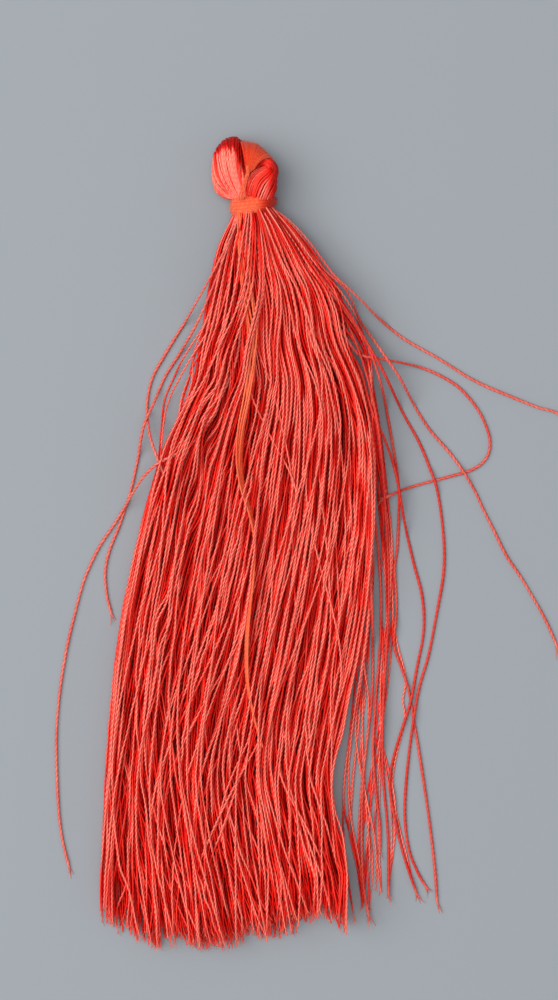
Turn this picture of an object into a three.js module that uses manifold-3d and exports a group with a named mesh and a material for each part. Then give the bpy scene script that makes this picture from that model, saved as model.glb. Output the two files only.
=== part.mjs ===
// A tassel of silk thread, lying on its back on a flat surface. Millimetres, +Z up, +Y towards the head.
// The origin is under the middle of the tassel without its loose threads, on the surface.

import * as THREE from 'three';
import { mergeVertices } from 'three/addons/utils/BufferGeometryUtils.js';
import Module from 'manifold-3d';

const wasm = await Module();
wasm.setup();

// Driving dimensions
const CROWN_Y = 65; // the crown of the head
const TIPS_Y = -61; // the mean line of the cut ends
const THREAD = 0.7; // one loose thread
const TAIL = 1.1; // the tie's loose end: two fine yarns side by side
const GAP = 0.3; // between pieces that touch
const GROOVE_MARGIN = 0.6; // the groove for the tie is this much wider than the tie's own sections
const FACETS = 8; // sides of a thread's section

const WRAP = {
  x: 2.8,
  y: 54,
  radius: 3.75, // outside
  thickness: 0.45,
  leftWidth: 2.7,
  rightWidth: 1.6,
  slope: 0.13, // rise of the band's middle for each millimetre to the right
  segments: 24,
};

const SKIRT = {
  acrossCount: 24,
  alongCount: 22,
  crowding: 2.2, // how much closer together the sections are at the neck than at the ends
  neckEndY: 57, // the neck goes on up to here, inside the lobes
  grooveStartY: 50, // the valleys between locks begin here
  tipFade: 12, // the uneven ends even out over this length
};

// Sections of the hank from its neck down: left and right edges, height of the top, of the widest
// place and of the underside, and how flat the underside is (1 is round).
const SKIRT_SECTIONS = [
  { y: 57, left: -0.1, right: 5.7, top: 6.6, waist: 3.75, base: 0.9, flat: 1 },
  { y: 54, left: -0.1, right: 5.7, top: 6.65, waist: 3.75, base: 0.85, flat: 1 },
  { y: 51.6, left: -0.1, right: 5.7, top: 6.65, waist: 3.75, base: 0.8, flat: 1 },
  { y: 49.6, left: -1.9, right: 8.1, top: 6.9, waist: 3.0, base: 0.1, flat: 1.2 },
  { y: 46, left: -3.3, right: 10.6, top: 6.5, waist: 1.9, base: 0, flat: 2.2 },
  { y: 39, left: -5.4, right: 16.4, top: 5.7, waist: 1.0, base: 0, flat: 3 },
  { y: 31, left: -7.6, right: 18.0, top: 5.1, waist: 0.8, base: 0, flat: 3 },
  { y: 24, left: -8.8, right: 20.0, top: 4.7, waist: 0.7, base: 0, flat: 3 },
  { y: 16, left: -11.8, right: 21.4, top: 4.4, waist: 0.7, base: 0, flat: 3 },
  { y: 6, left: -14.8, right: 21.9, top: 4.1, waist: 0.7, base: 0, flat: 3 },
  { y: -10, left: -18.4, right: 21.8, top: 3.8, waist: 0.7, base: 0, flat: 3 },
  { y: -24, left: -20.0, right: 21.0, top: 3.5, waist: 0.7, base: 0, flat: 3 },
  { y: -38, left: -21.1, right: 17.9, top: 3.2, waist: 0.7, base: 0, flat: 3 },
  { y: -52, left: -21.7, right: 17.5, top: 2.7, waist: 0.6, base: 0, flat: 3 },
  { y: -61, left: -22.0, right: 18.5, top: 2.0, waist: 0.6, base: 0, flat: 3 },
];

// Valleys between the skirt's main locks: place across at the neck and at the ends, from -1 to 1.
const VALLEYS = [
  { neck: -0.7, ends: -0.82, depth: 0.8, width: 1.7 },
  { neck: -0.4, ends: -0.5, depth: 1.1, width: 1.7 },
  { neck: -0.15, ends: -0.12, depth: 1.1, width: 1.6 },
  { neck: 0.2, ends: 0.2, depth: 1.0, width: 1.7 },
  { neck: 0.45, ends: 0.46, depth: 1.1, width: 1.6 },
  { neck: 0.7, ends: 0.75, depth: 0.9, width: 1.6 },
];

// Where the cut ends of the locks reach, across the skirt from -1 to 1.
const ENDS = [
  { across: -1.0, y: -60.4 },
  { across: -0.93, y: -59.0 },
  { across: -0.86, y: -61.6 },
  { across: -0.8, y: -60.0 },
  { across: -0.66, y: -63.0 },
  { across: -0.5, y: -64.95 },
  { across: -0.4, y: -62.4 },
  { across: -0.2, y: -64.95 },
  { across: -0.1, y: -63.2 },
  { across: 0.05, y: -64.4 },
  { across: 0.2, y: -62.0 },
  { across: 0.4, y: -62.6 },
  { across: 0.6, y: -60.8 },
  { across: 0.8, y: -58.8 },
  { across: 1.0, y: -61.4 },
];

// Sections of the head's two lobes, where the threads turn over
const LOBE_COUNTS = { across: 10, along: 9 };
const LEFT_LOBE = [
  { y: 55.3, left: 0.2, right: 2.8, top: 6.3, waist: 3.7, base: 1.2, flat: 1 },
  { y: 56.8, left: -2.6, right: 2.6, top: 7.4, waist: 3.6, base: 0.3, flat: 1.1 },
  { y: 58.5, left: -3.8, right: 2.4, top: 8.3, waist: 3.8, base: 0, flat: 1.3 },
  { y: 60.4, left: -4.0, right: 2.1, top: 8.6, waist: 4.0, base: 0, flat: 1.3 },
  { y: 62.3, left: -3.7, right: 1.6, top: 8.2, waist: 4.0, base: 0, flat: 1.2 },
  { y: 63.6, left: -3.0, right: 1.1, top: 7.3, waist: 4.0, base: 0.8, flat: 1 },
  { y: 64.8, left: -1.9, right: 0.4, top: 5.6, waist: 4.0, base: 2.4, flat: 1 },
];
const RIGHT_LOBE = [
  { y: 55.3, left: 2.6, right: 5.4, top: 6.3, waist: 3.7, base: 1.2, flat: 1 },
  { y: 56.8, left: 2.0, right: 6.7, top: 7.3, waist: 3.6, base: 0.3, flat: 1.1 },
  { y: 58.5, left: 2.2, right: 7.2, top: 7.8, waist: 3.7, base: 0, flat: 1.3 },
  { y: 60.2, left: 2.6, right: 7.0, top: 7.7, waist: 3.8, base: 0, flat: 1.2 },
  { y: 61.4, left: 2.9, right: 6.5, top: 7.2, waist: 3.8, base: 0.4, flat: 1 },
  { y: 62.2, left: 3.4, right: 5.6, top: 6.2, waist: 3.8, base: 1.6, flat: 1 },
];

// Sections of the tie: a thin strand out of the neck, a wide saddle over the crown between the lobes
const TIE_COUNTS = { across: 8, along: 10 };
const TIE = [
  { y: 55.5, left: 0.6, right: 1.6, top: 7.8, waist: 7.3, base: 6.9, flat: 1 },
  { y: 57.4, left: 1.1, right: 2.1, top: 8.3, waist: 7.8, base: 7.2, flat: 1 },
  { y: 58.8, left: 1.3, right: 2.8, top: 8.5, waist: 7.4, base: 6.0, flat: 1 },
  { y: 60.2, left: 1.3, right: 4.0, top: 8.6, waist: 6.0, base: 3.2, flat: 1 },
  { y: 61.6, left: 1.0, right: 5.1, top: 8.4, waist: 4.6, base: 0.8, flat: 1 },
  { y: 62.8, left: 0.7, right: 5.5, top: 7.9, waist: 4.2, base: 0.4, flat: 1.1 },
  { y: 64.0, left: 0.3, right: 4.7, top: 7.0, waist: 4.1, base: 1.0, flat: 1 },
  { y: 65.0, left: 0.0, right: 3.3, top: 5.8, waist: 4.1, base: 2.4, flat: 1 },
];

// The route of the tie's loose end over the skirt, in plan
const TAIL_ROUTE = [
  [1.2, 52.0],
  [1.2, 47.5],
  [1.6, 42.0],
  [2.3, 37.5],
  [2.7, 33.5],
  [2.3, 28.5],
  [1.6, 23.0],
  [0.8, 18.0],
  [0.6, 13.0],
  [1.3, 8.5],
  [2.6, 4.5],
  [3.3, 0.5],
  [3.1, -4.5],
  [2.4, -10.0],
  [1.8, -16.0],
  [1.8, -22.0],
  [2.7, -27.5],
  [4.0, -32.0],
];

// Routes of the loose threads over the surface, in plan, in the order in which they were laid
const STRAY_ROUTES = {
  stray_right_loop: [
    [19.6, 30.0],
    [22.6, 29.4],
    [26.4, 28.8],
    [30.4, 27.9],
    [34.7, 25.7],
    [37.3, 23.3],
    [39.4, 20.2],
    [40.6, 16.6],
    [40.1, 13.8],
    [37.9, 11.9],
    [34.0, 10.7],
    [30.2, 9.7],
    [26.6, 8.6],
    [23.4, 7.2],
  ],
  stray_right_low: [
    [17.6, 40.2],
    [20.2, 35.0],
    [23.5, 30.0],
    [26.0, 26.4],
    [28.4, 22.3],
    [31.0, 18.2],
    [34.7, 13.9],
    [37.9, 9.0],
    [39.6, 5.4],
    [41.4, 1.8],
    [43.3, -2.0],
    [45.6, -5.4],
    [47.5, -8.6],
    [49.3, -11.8],
    [50.6, -14.6],
    [51.4, -16.6],
  ],
  stray_right_top: [
    [18.9, 39.6],
    [22.3, 36.4],
    [26.7, 32.9],
    [29.9, 31.0],
    [33.1, 29.2],
    [36.3, 27.1],
    [38.9, 25.7],
    [41.3, 24.6],
    [44.8, 23.2],
    [47.7, 22.0],
    [51.0, 21.0],
    [52.7, 20.6],
  ],
  stray_right_inner: [
    [20.6, 32.2],
    [22.6, 26.8],
    [24.0, 21.6],
    [25.2, 15.0],
    [25.9, 10.0],
    [26.0, 5.0],
    [25.8, -0.6],
    [25.4, -4.0],
    [25.7, -10.0],
    [25.3, -16.0],
    [26.4, -19.6],
    [27.6, -23.4],
    [28.5, -28.6],
    [29.8, -36.6],
    [31.0, -45.0],
    [31.8, -52.0],
    [32.2, -57.6],
  ],
  stray_right_mid: [
    [22.9, 28.2],
    [25.0, 24.2],
    [27.2, 20.0],
    [29.2, 16.4],
    [30.8, 12.6],
    [32.3, 8.0],
    [33.2, 1.0],
    [33.2, -4.6],
    [32.2, -10.6],
    [30.8, -17.8],
    [29.4, -22.6],
    [28.4, -28.0],
    [27.4, -36.0],
    [27.0, -43.0],
    [27.6, -48.6],
    [29.0, -52.4],
    [30.6, -55.2],
  ],
  stray_right_cross: [
    [19.8, 27.4],
    [21.6, 21.0],
    [23.6, 16.6],
    [25.4, 11.6],
    [26.8, 4.0],
    [28.4, -3.0],
    [29.8, -8.6],
    [30.0, -14.0],
    [28.9, -20.0],
    [27.8, -25.6],
    [25.5, -33.0],
    [24.6, -38.0],
    [25.4, -44.0],
    [27.0, -50.4],
    [29.0, -56.2],
  ],
  loose_lock_outer: [
    [23.6, 9.0],
    [23.9, 4.0],
    [24.3, -2.0],
    [24.4, -9.0],
    [24.1, -16.0],
    [23.6, -24.0],
    [23.4, -32.0],
    [23.6, -38.0],
    [24.2, -45.0],
    [24.4, -50.0],
    [24.4, -56.2],
  ],
  loose_lock_middle: [
    [23.2, -11.0],
    [22.9, -18.0],
    [22.3, -26.0],
    [21.9, -33.0],
    [22.4, -40.0],
    [23.0, -45.0],
    [23.0, -49.4],
  ],
  loose_lock_inner: [
    [21.7, -25.0],
    [21.0, -31.0],
    [20.3, -38.0],
    [20.1, -46.0],
    [20.3, -54.0],
    [21.2, -59.4],
  ],
  stray_left_loop: [
    [-6.7, 37.6],
    [-9.3, 33.6],
    [-11.6, 29.8],
    [-13.4, 26.4],
    [-14.2, 22.4],
    [-13.9, 19.0],
    [-13.4, 16.6],
  ],
  stray_left_low: [
    [-9.0, 30.4],
    [-11.4, 26.6],
    [-13.0, 22.6],
    [-14.6, 18.8],
    [-15.6, 14.0],
    [-16.8, 8.6],
    [-18.6, 3.0],
    [-20.2, -1.0],
    [-20.9, -4.6],
    [-20.6, -8.4],
    [-19.8, -11.6],
  ],
  stray_left_long: [
    [-14.4, 10.8],
    [-16.4, 8.0],
    [-19.4, 3.2],
    [-21.9, -0.6],
    [-24.2, -5.6],
    [-25.8, -11.4],
    [-27.1, -17.0],
    [-28.2, -24.0],
    [-28.7, -31.0],
    [-28.5, -40.0],
    [-27.9, -46.4],
    [-26.6, -52.0],
  ],
};

// The unseen length of the top stray, wound into a coil where that stray ends
const COIL = { x: 57.6, y: 20.4, middleRadius: 3.85, turnsAcross: 2, turnsHigh: 2, segments: 24 };

const SILK = new THREE.MeshStandardMaterial({ color: 0xe8503e, roughness: 0.5, metalness: 0 });
const TIE_YARN = new THREE.MeshStandardMaterial({ color: 0xf0692f, roughness: 0.9, metalness: 0 });

/** Reads the columns of a table of sections at any y, by cubic interpolation. */
function reader(rows) {
  const sorted = [...rows].sort((a, b) => a.y - b.y);
  const keys = Object.keys(sorted[0]).filter((key) => key !== 'y');
  const places = sorted.map((row) => row.y);
  const values = sorted.flatMap((row) => keys.map((key) => row[key]));
  const cubic = new THREE.CubicInterpolant(places, values, keys.length);
  return (y) => {
    const found = cubic.evaluate(THREE.MathUtils.clamp(y, places[0], places[places.length - 1]));
    return Object.fromEntries(keys.map((key, k) => [key, found[k]]));
  };
}

/** Places across a section from -1 to 1, closer together near its two edges. */
function placesAcross(count) {
  const even = 0.4;
  return Array.from({ length: count + 1 }, (_, k) => {
    const share = k / count;
    return even * (2 * share - 1) - (1 - even) * Math.cos(Math.PI * share);
  });
}

/** The upper and lower point of a section at one place across it. */
function sectionPoints(section, across, y, dip = 0) {
  const edge = 0.15; // half the height of the side wall where the two surfaces meet
  const arch = Math.sqrt(Math.max(0, 1 - across * across));
  const x = THREE.MathUtils.lerp(section.left, section.right, (across + 1) / 2);
  const rise = section.top - section.waist - edge;
  const drop = Math.max(0, section.waist - section.base - edge);
  const upper = section.waist + edge + rise * arch - dip * arch;
  const lower = section.waist - edge - drop * Math.min(1, section.flat * arch);
  return [new THREE.Vector3(x, y, upper), new THREE.Vector3(x, y, Math.max(0, lower))];
}

/** A closed body between a grid of upper points and a grid of lower points. */
function bodyBetween(grid) {
  const rows = grid.length;
  const columns = grid[0].length;
  const positions = [];
  for (const side of [0, 1]) {
    for (const row of grid) {
      for (const pair of row) {
        positions.push(...pair[side].toArray());
      }
    }
  }
  const upper = (i, j) => i * columns + j;
  const lower = (i, j) => rows * columns + i * columns + j;
  const triangles = [];
  const quad = (a, b, c, d) => triangles.push(a, b, c, a, c, d);
  for (let i = 0; i + 1 < rows; i += 1) {
    for (let j = 0; j + 1 < columns; j += 1) {
      quad(upper(i, j), upper(i, j + 1), upper(i + 1, j + 1), upper(i + 1, j));
      quad(lower(i, j), lower(i + 1, j), lower(i + 1, j + 1), lower(i, j + 1));
    }
    const last = columns - 1;
    quad(upper(i, 0), upper(i + 1, 0), lower(i + 1, 0), lower(i, 0));
    quad(upper(i, last), lower(i, last), lower(i + 1, last), upper(i + 1, last));
  }
  for (let j = 0; j + 1 < columns; j += 1) {
    const end = rows - 1;
    quad(upper(0, j), lower(0, j), lower(0, j + 1), upper(0, j + 1));
    quad(upper(end, j), upper(end, j + 1), lower(end, j + 1), lower(end, j));
  }
  const geometry = new THREE.BufferGeometry();
  geometry.setAttribute('position', new THREE.Float32BufferAttribute(positions, 3));
  geometry.setIndex(triangles);
  return geometry;
}

/** A body through a table of sections, grown on all sides by a margin where one is given. */
function bodyThrough(rows, counts, margin = 0) {
  const read = reader(rows);
  const ys = rows.map((row) => row.y);
  const start = Math.min(...ys) - margin;
  const end = Math.max(...ys) + margin;
  const grid = [];
  for (let i = 0; i <= counts.along; i += 1) {
    const y = THREE.MathUtils.lerp(start, end, i / counts.along);
    const section = read(y);
    section.left -= margin;
    section.right += margin;
    section.top += margin;
    section.base -= margin;
    grid.push(placesAcross(counts.across).map((across) => sectionPoints(section, across, y)));
  }
  return bodyBetween(grid);
}

function toSolid(geometry) {
  const plain = geometry.clone();
  plain.deleteAttribute('normal');
  plain.deleteAttribute('uv');
  const merged = mergeVertices(plain);
  const mesh = { numProp: 3, vertProperties: merged.attributes.position.array, triVerts: merged.index.array };
  return new wasm.Manifold(new wasm.Mesh(mesh));
}

function toGeometry(solid) {
  const mesh = solid.getMesh();
  const geometry = new THREE.BufferGeometry();
  geometry.setAttribute('position', new THREE.BufferAttribute(mesh.vertProperties, 3));
  geometry.setIndex(new THREE.BufferAttribute(mesh.triVerts, 1));
  return geometry;
}

const readSkirt = reader(SKIRT_SECTIONS);
const readEnds = reader(ENDS.map(({ across, y }) => ({ y: across, reach: y })));

/** How far the valleys between locks cut into the skirt's top at a place on it. */
function valleyDip(across, y, halfWidth) {
  const down = (SKIRT.grooveStartY - y) / (SKIRT.grooveStartY - TIPS_Y);
  const ramp = THREE.MathUtils.smoothstep(down, 0, 0.2);
  let dip = 0;
  for (const { neck, ends, depth, width } of VALLEYS) {
    const middle = THREE.MathUtils.lerp(neck, ends, THREE.MathUtils.clamp(down, 0, 1));
    const away = ((across - middle) * halfWidth) / width;
    dip += depth * ramp * Math.exp(-away * away);
  }
  return dip;
}

function skirtPoints(across, y) {
  const section = readSkirt(y);
  return sectionPoints(section, across, y, valleyDip(across, y, (section.right - section.left) / 2));
}

/** The height of the skirt's top over a point of the plan. */
function skirtTop(x, y) {
  const { left, right } = readSkirt(y);
  return skirtPoints((2 * (x - left)) / (right - left) - 1, y)[0].z;
}

/** The folded hank below its neck: flat underneath, with its locks and their uneven ends. */
function skirtBody() {
  const grid = [];
  for (let i = 0; i <= SKIRT.alongCount; i += 1) {
    const below = (1 - i / SKIRT.alongCount) ** SKIRT.crowding;
    const y = THREE.MathUtils.lerp(SKIRT.neckEndY, TIPS_Y, below);
    const fade = Math.max(0, 1 - (y - TIPS_Y) / SKIRT.tipFade);
    const row = placesAcross(SKIRT.acrossCount).map((across) => {
      const pair = skirtPoints(across, y);
      const shift = (readEnds(across).reach - TIPS_Y) * fade;
      pair.forEach((point) => {
        point.y += shift;
      });
      return pair;
    });
    grid.push(row);
  }
  return bodyBetween(grid);
}

/** The whole hank: skirt, neck and the two lobes of its fold, with a groove for the tie. */
function hankBody() {
  const parts = [bodyThrough(LEFT_LOBE, LOBE_COUNTS), bodyThrough(RIGHT_LOBE, LOBE_COUNTS)];
  let solid = toSolid(skirtBody());
  for (const part of parts) {
    solid = solid.add(toSolid(part));
  }
  return toGeometry(solid.subtract(toSolid(bodyThrough(TIE, TIE_COUNTS, GROOVE_MARGIN))));
}

/** The band round the neck: a ring of changing width, its middle sloping up to the right. */
function wrapBody() {
  const inner = WRAP.radius - WRAP.thickness;
  const belly = WRAP.thickness * 0.35;
  const grid = [];
  for (let i = 0; i < WRAP.segments; i += 1) {
    const angle = (2 * Math.PI * i) / WRAP.segments;
    const side = (Math.cos(angle) + 1) / 2;
    const width = THREE.MathUtils.lerp(WRAP.leftWidth, WRAP.rightWidth, side);
    const profile = [
      [inner, -width / 2],
      [WRAP.radius - belly, -width / 2],
      [WRAP.radius, -width / 4],
      [WRAP.radius, width / 4],
      [WRAP.radius - belly, width / 2],
      [inner, width / 2],
    ];
    grid.push(
      profile.map(([radius, along]) => {
        const x = radius * Math.cos(angle);
        return new THREE.Vector3(
          WRAP.x + x,
          WRAP.y + WRAP.slope * x + along,
          Math.max(0, WRAP.radius + radius * Math.sin(angle)),
        );
      }),
    );
  }
  const columns = grid[0].length;
  const triangles = [];
  for (let i = 0; i < grid.length; i += 1) {
    const next = (i + 1) % grid.length;
    for (let j = 0; j < columns; j += 1) {
      const beside = (j + 1) % columns;
      const [a, b] = [i * columns + j, i * columns + beside];
      const [c, d] = [next * columns + beside, next * columns + j];
      triangles.push(a, b, c, a, c, d);
    }
  }
  const geometry = new THREE.BufferGeometry();
  geometry.setAttribute('position', new THREE.Float32BufferAttribute(grid.flat().flatMap((p) => p.toArray()), 3));
  geometry.setIndex(triangles);
  return geometry;
}

function planCurve(route) {
  const points = route.map(([x, y]) => new THREE.Vector3(x, y, 0));
  return new THREE.CatmullRomCurve3(points, false, 'centripetal');
}

/** A tube of a thread's thickness along points in space, a step every three thicknesses. */
function threadBody(points, diameter) {
  const path = new THREE.CatmullRomCurve3(points, false, 'centripetal');
  const corners = Array.from({ length: FACETS }, (_, k) => {
    const angle = (2 * Math.PI * k) / FACETS;
    return new THREE.Vector2(Math.cos(angle), Math.sin(angle)).multiplyScalar(diameter / 2);
  });
  const steps = Math.round(path.getLength() / (3 * diameter));
  return new THREE.ExtrudeGeometry(new THREE.Shape(corners), { steps, bevelEnabled: false, extrudePath: path });
}

const laidThreads = [];

/** Lays a thread on the surface and over the threads laid before it, in long low humps. */
function layThread(route) {
  const sampleStep = 0.5;
  const humpReach = 5;
  const humpCrown = 1.2;
  const spacing = THREAD + GAP;
  const lie = THREAD / 2 + 0.05;
  const plan = planCurve(route);
  const samples = plan.getSpacedPoints(Math.round(plan.getLength() / sampleStep));
  const needed = samples.map((sample) => {
    let height = lie;
    for (const other of laidThreads) {
      for (const point of other) {
        const away = Math.hypot(point.x - sample.x, point.y - sample.y);
        if (away < spacing) {
          height = Math.max(height, point.z + 1.1 * Math.sqrt(spacing * spacing - away * away));
        }
      }
    }
    return height - lie;
  });
  const laid = samples.map((sample, i) => {
    let lift = 0;
    needed.forEach((height, k) => {
      const away = Math.max(0, Math.abs(i - k) * sampleStep - humpCrown);
      if (height > 0 && away < humpReach) {
        lift = Math.max(lift, height * Math.cos((Math.PI * away) / (2 * humpReach)) ** 2);
      }
    });
    return new THREE.Vector3(sample.x, sample.y, lie + lift);
  });
  laidThreads.push(laid);
  return threadBody(laid.filter((_, i) => i % 2 === 0 || i === laid.length - 1), THREAD);
}

/** The tie's loose end, lying on the skirt's top. */
function tailBody() {
  const plan = planCurve(TAIL_ROUTE);
  const samples = plan.getSpacedPoints(Math.round(plan.getLength() / 2));
  const points = samples.map(({ x, y }) => new THREE.Vector3(x, y, skirtTop(x, y) + GAP + 0.25 + TAIL / 2));
  return threadBody(points, TAIL);
}

/** The outer form of the coil: a ring as wide and high as its turns. */
function coilBody() {
  const halfWidth = (COIL.turnsAcross * THREAD) / 2;
  const height = COIL.turnsHigh * THREAD;
  const inner = COIL.middleRadius - halfWidth;
  const outer = COIL.middleRadius + halfWidth;
  const profile = [
    [inner, 0],
    [outer, 0],
    [outer, height],
    [inner, height],
    [inner, 0],
  ];
  const points = profile.map(([radius, z]) => new THREE.Vector2(radius, z));
  const ring = new THREE.LatheGeometry(points, COIL.segments);
  ring.rotateX(Math.PI / 2);
  return ring.translate(COIL.x, COIL.y, 0);
}

const tassel = new THREE.Group();

function addPiece(name, geometry, material) {
  const mesh = new THREE.Mesh(geometry, material);
  mesh.name = name;
  tassel.add(mesh);
}

addPiece('hank', hankBody(), SILK);
addPiece('top_tie', bodyThrough(TIE, TIE_COUNTS), TIE_YARN);
addPiece('neck_wrap', wrapBody(), TIE_YARN);
addPiece('tie_tail', tailBody(), TIE_YARN);
for (const [name, route] of Object.entries(STRAY_ROUTES)) {
  addPiece(name, layThread(route), SILK);
}
addPiece('stray_right_coil', coilBody(), SILK);

export default tassel;
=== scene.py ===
"""A tassel of silk thread lying on a plain grey floor, seen from straight above.

Metres, +Y towards the head, the floor at z = 0. Every thread is laid in turn on the pile of those before it,
so the skirt has its real thickness, crossings and gaps. A thread's mesh is two plies twisted together.
"""

import math
from collections import namedtuple

import bpy
import numpy as np
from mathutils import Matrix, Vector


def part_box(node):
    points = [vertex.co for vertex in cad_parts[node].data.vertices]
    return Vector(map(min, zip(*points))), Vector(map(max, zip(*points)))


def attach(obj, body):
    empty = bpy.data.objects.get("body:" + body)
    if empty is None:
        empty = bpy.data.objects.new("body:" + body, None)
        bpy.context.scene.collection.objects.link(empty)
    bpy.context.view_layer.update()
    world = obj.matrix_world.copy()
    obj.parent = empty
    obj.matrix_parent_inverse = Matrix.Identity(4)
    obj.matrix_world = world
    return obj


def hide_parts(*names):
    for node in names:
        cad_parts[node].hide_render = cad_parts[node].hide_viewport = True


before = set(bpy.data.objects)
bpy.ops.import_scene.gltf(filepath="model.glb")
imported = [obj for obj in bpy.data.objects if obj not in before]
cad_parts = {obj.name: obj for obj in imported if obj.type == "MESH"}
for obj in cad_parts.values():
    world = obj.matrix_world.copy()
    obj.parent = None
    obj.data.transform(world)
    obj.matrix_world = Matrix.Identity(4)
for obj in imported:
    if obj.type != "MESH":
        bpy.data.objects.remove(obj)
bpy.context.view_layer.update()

MM = 0.001
SEED = 11

# The camera looks straight down, and its frame's long side covers FRAME_LONG of the floor
CAMERA_AT = (6.9 * MM, 7.0 * MM)
CAMERA_HEIGHT = 420 * MM
FRAME_LONG = 160 * MM
SENSOR = 36.0

# The stage: a plain floor, an even sky, and two soft round lamps that face the origin
FLOOR_HALF_SIDE = 3.0
FLOOR_COLOUR = (0.256, 0.277, 0.298, 1)
SKY_COLOUR = (0.95, 0.97, 1.0, 1)
SKY_STRENGTH = 0.55
LAMP_POWER = 5.8
Lamp = namedtuple("Lamp", "place size tint")
LAMPS = {
    "key": Lamp((-0.55, 0.08, 0.68), 0.80, (1.0, 0.985, 0.965)),
    "top": Lamp((-0.10, 0.00, 1.10), 0.70, (1.0, 1.0, 1.0)),
}

# Threads
STRAY_DIAMETER = 0.7 * MM
STRAY_RADIUS = 0.27 * MM  # of the firm thread inside its fuzz
SKIRT_RADIUS = 0.18 * MM
BED_RADIUS = 0.24 * MM  # of the lowest threads, which carry the rest
NECK_RADIUS = 0.15 * MM
LOBE_RADIUS = 0.18 * MM
PITCH = 1.7 * MM  # one full turn of the two plies
UNTWISTED = 0.75  # where the surface of an untwisted thread is, from groove 0 to crest 1
SIDES = 5
SKIRT_SIDES = 4
SPLINE_PARTS = 12  # parts of a smooth curve between two of its given points
SKIRT_FULL = 32 * MM  # below this a skirt thread has its full radius
SKIRT_FRAY = 1.2 * MM  # how far the plies of a cut end come apart
STRAY_FRAY = 2.2 * MM
PALE_END = 2.2 * MM  # over this length a cut end is paler
THIN_END = 5 * MM  # and over this one thinner
SHOWN_END = 2.5 * MM  # this much of a thread's end always has its full rings

# How far in the groove between the plies reaches, as a share of the radius: 1 is no groove
NOTCH = 0.55
SKIRT_NOTCH = 0.68
LOOP_NOTCH = 0.7
YARN_NOTCH = 0.8
TAIL_NOTCH = 0.6
WRAP_NOTCH = 0.92

# The neck, in which all threads lie in a round bundle
NECK_Y = 53.8 * MM
NECK_X = 2.8 * MM
NECK_Z = 3.75 * MM
NECK_BUNDLE = 3.1 * MM
SWELL = 0.16  # how much the bundle swells just below the winding
SWELL_FROM = 53.2 * MM
SWELL_FULL = 51.0 * MM
FLARE = (36 * MM, 50 * MM)  # between these the round neck flattens into the skirt
HELD = 0.98  # a thread joins the pile where the neck holds it by less than this share
STAMPED_FROM = 47 * MM  # above this threads are stamped once all are laid, so that the pile has the neck too

EDGE_LOW = -52 * MM  # below this the skirt keeps its width
COLUMN_STEP = 0.5 * MM  # between the places at which the hank's lower edge is measured
COLUMN_MARGIN = 0.2 * MM  # and how far within its sides they begin
EDGE_SHARE = 0.99  # of the half width, within which locks start and arrive

# How far the skirt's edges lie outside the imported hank, or inside it where negative: y, left and right.
# Millimetres.
EDGES = [
    (-52, 0.0, 0.0), (-44, 0.0, -0.8), (-36, 0.0, -2.2), (-28, 0.0, -2.5), (-20, 0.0, -1.9),
    (-10, 0.0, -0.5), (2, 0.0, 0.7), (16, 0.0, 1.3), (26, -1.4, 1.2), (34, -0.8, 0.8),
    (40, 0.1, 1.7), (46, 0.5, 2.6), (51, 0.6, 2.5), (54, 0.0, 0.0),
]

# The grid of the pile
PILE_LOW = (-32 * MM, -68 * MM)
PILE_HIGH = (64 * MM, 60 * MM)
PILE_CELL = 0.1 * MM
STAMP_STEP = 0.8  # cells between the balls that a thread stamps

# The step of a laid line, and how the line bends over what is under it
LAY_STEP = 0.3 * MM
BEND_RADIUS = 7 * MM
SOFTEN = 0.6 * MM
NESTING = 0.8  # soft threads press into each other, to this share of their thickness

# The skirt's layers from the floor up. Each has locks of threads side by side: how many locks, the fewest
# and most threads in one, how far they wander, how much they change place across the skirt, and their tone,
# which is darker on the whole in the lower layers as painted shade deep in the pile.
Layer = namedtuple("Layer", "locks fewest most looseness drift tone radius")
UNDER_LAYERS = [
    Layer(96, 1, 1, looseness=0.05, drift=0.00, tone=(0.2, 0.5), radius=BED_RADIUS),
    Layer(96, 1, 1, looseness=0.12, drift=0.01, tone=(0.2, 0.5), radius=BED_RADIUS),
    Layer(40, 2, 3, looseness=0.60, drift=0.05, tone=(0.1, 0.7), radius=SKIRT_RADIUS),
    Layer(42, 2, 3, looseness=0.80, drift=0.12, tone=(0.1, 0.8), radius=SKIRT_RADIUS),
    Layer(44, 2, 3, looseness=0.90, drift=0.18, tone=(0.0, 1.0), radius=SKIRT_RADIUS),
]
TOP_LAYER = Layer(44, 1, 3, looseness=0.90, drift=0.26, tone=(0.0, 1.1), radius=SKIRT_RADIUS)
OVER_TAIL = 18  # of the top layer's locks lie over the tie's loose end

# Threads that cross the skirt at a slant: the x and y at which they leave their place, the x and y at which
# they arrive, and how many. Millimetres.
CROSSINGS = [
    (1, 2, -13, -44, 5), (3, -8, -11, -50, 5), (6, -22, -7, -60, 4), (7, 18, -6, -18, 4),
    (-1, -14, -13, -52, 2), (-11, -2, -7, -34, 1), (10, 2, 3, -36, 2), (12, 16, 17, -20, 2),
    (9, -24, 14, -58, 2), (2, 38, 8, 6, 2), (14, 6, 6, -32, 4), (-3, 34, -9, 6, 2),
]
CROSSING_SPREAD = 0.07  # of half the skirt's width, between the threads of one crossing
CROSSING_LATER = 4  # how much later or sooner one of them crosses, in millimetres

# Threads that stand off the left edge of the fan: the y where they are furthest from it, over what reach,
# and how far. Millimetres.
LEFT_STANDING = [(30, 6.5, 1.6), (28, 7.5, 2.4), (26, 7.5, 3.3), (24, 8.0, 3.9), (25, 8.0, 4.5)]
LEFT_SHARES = (-0.99, -0.85)  # where they lie across the skirt otherwise

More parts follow.
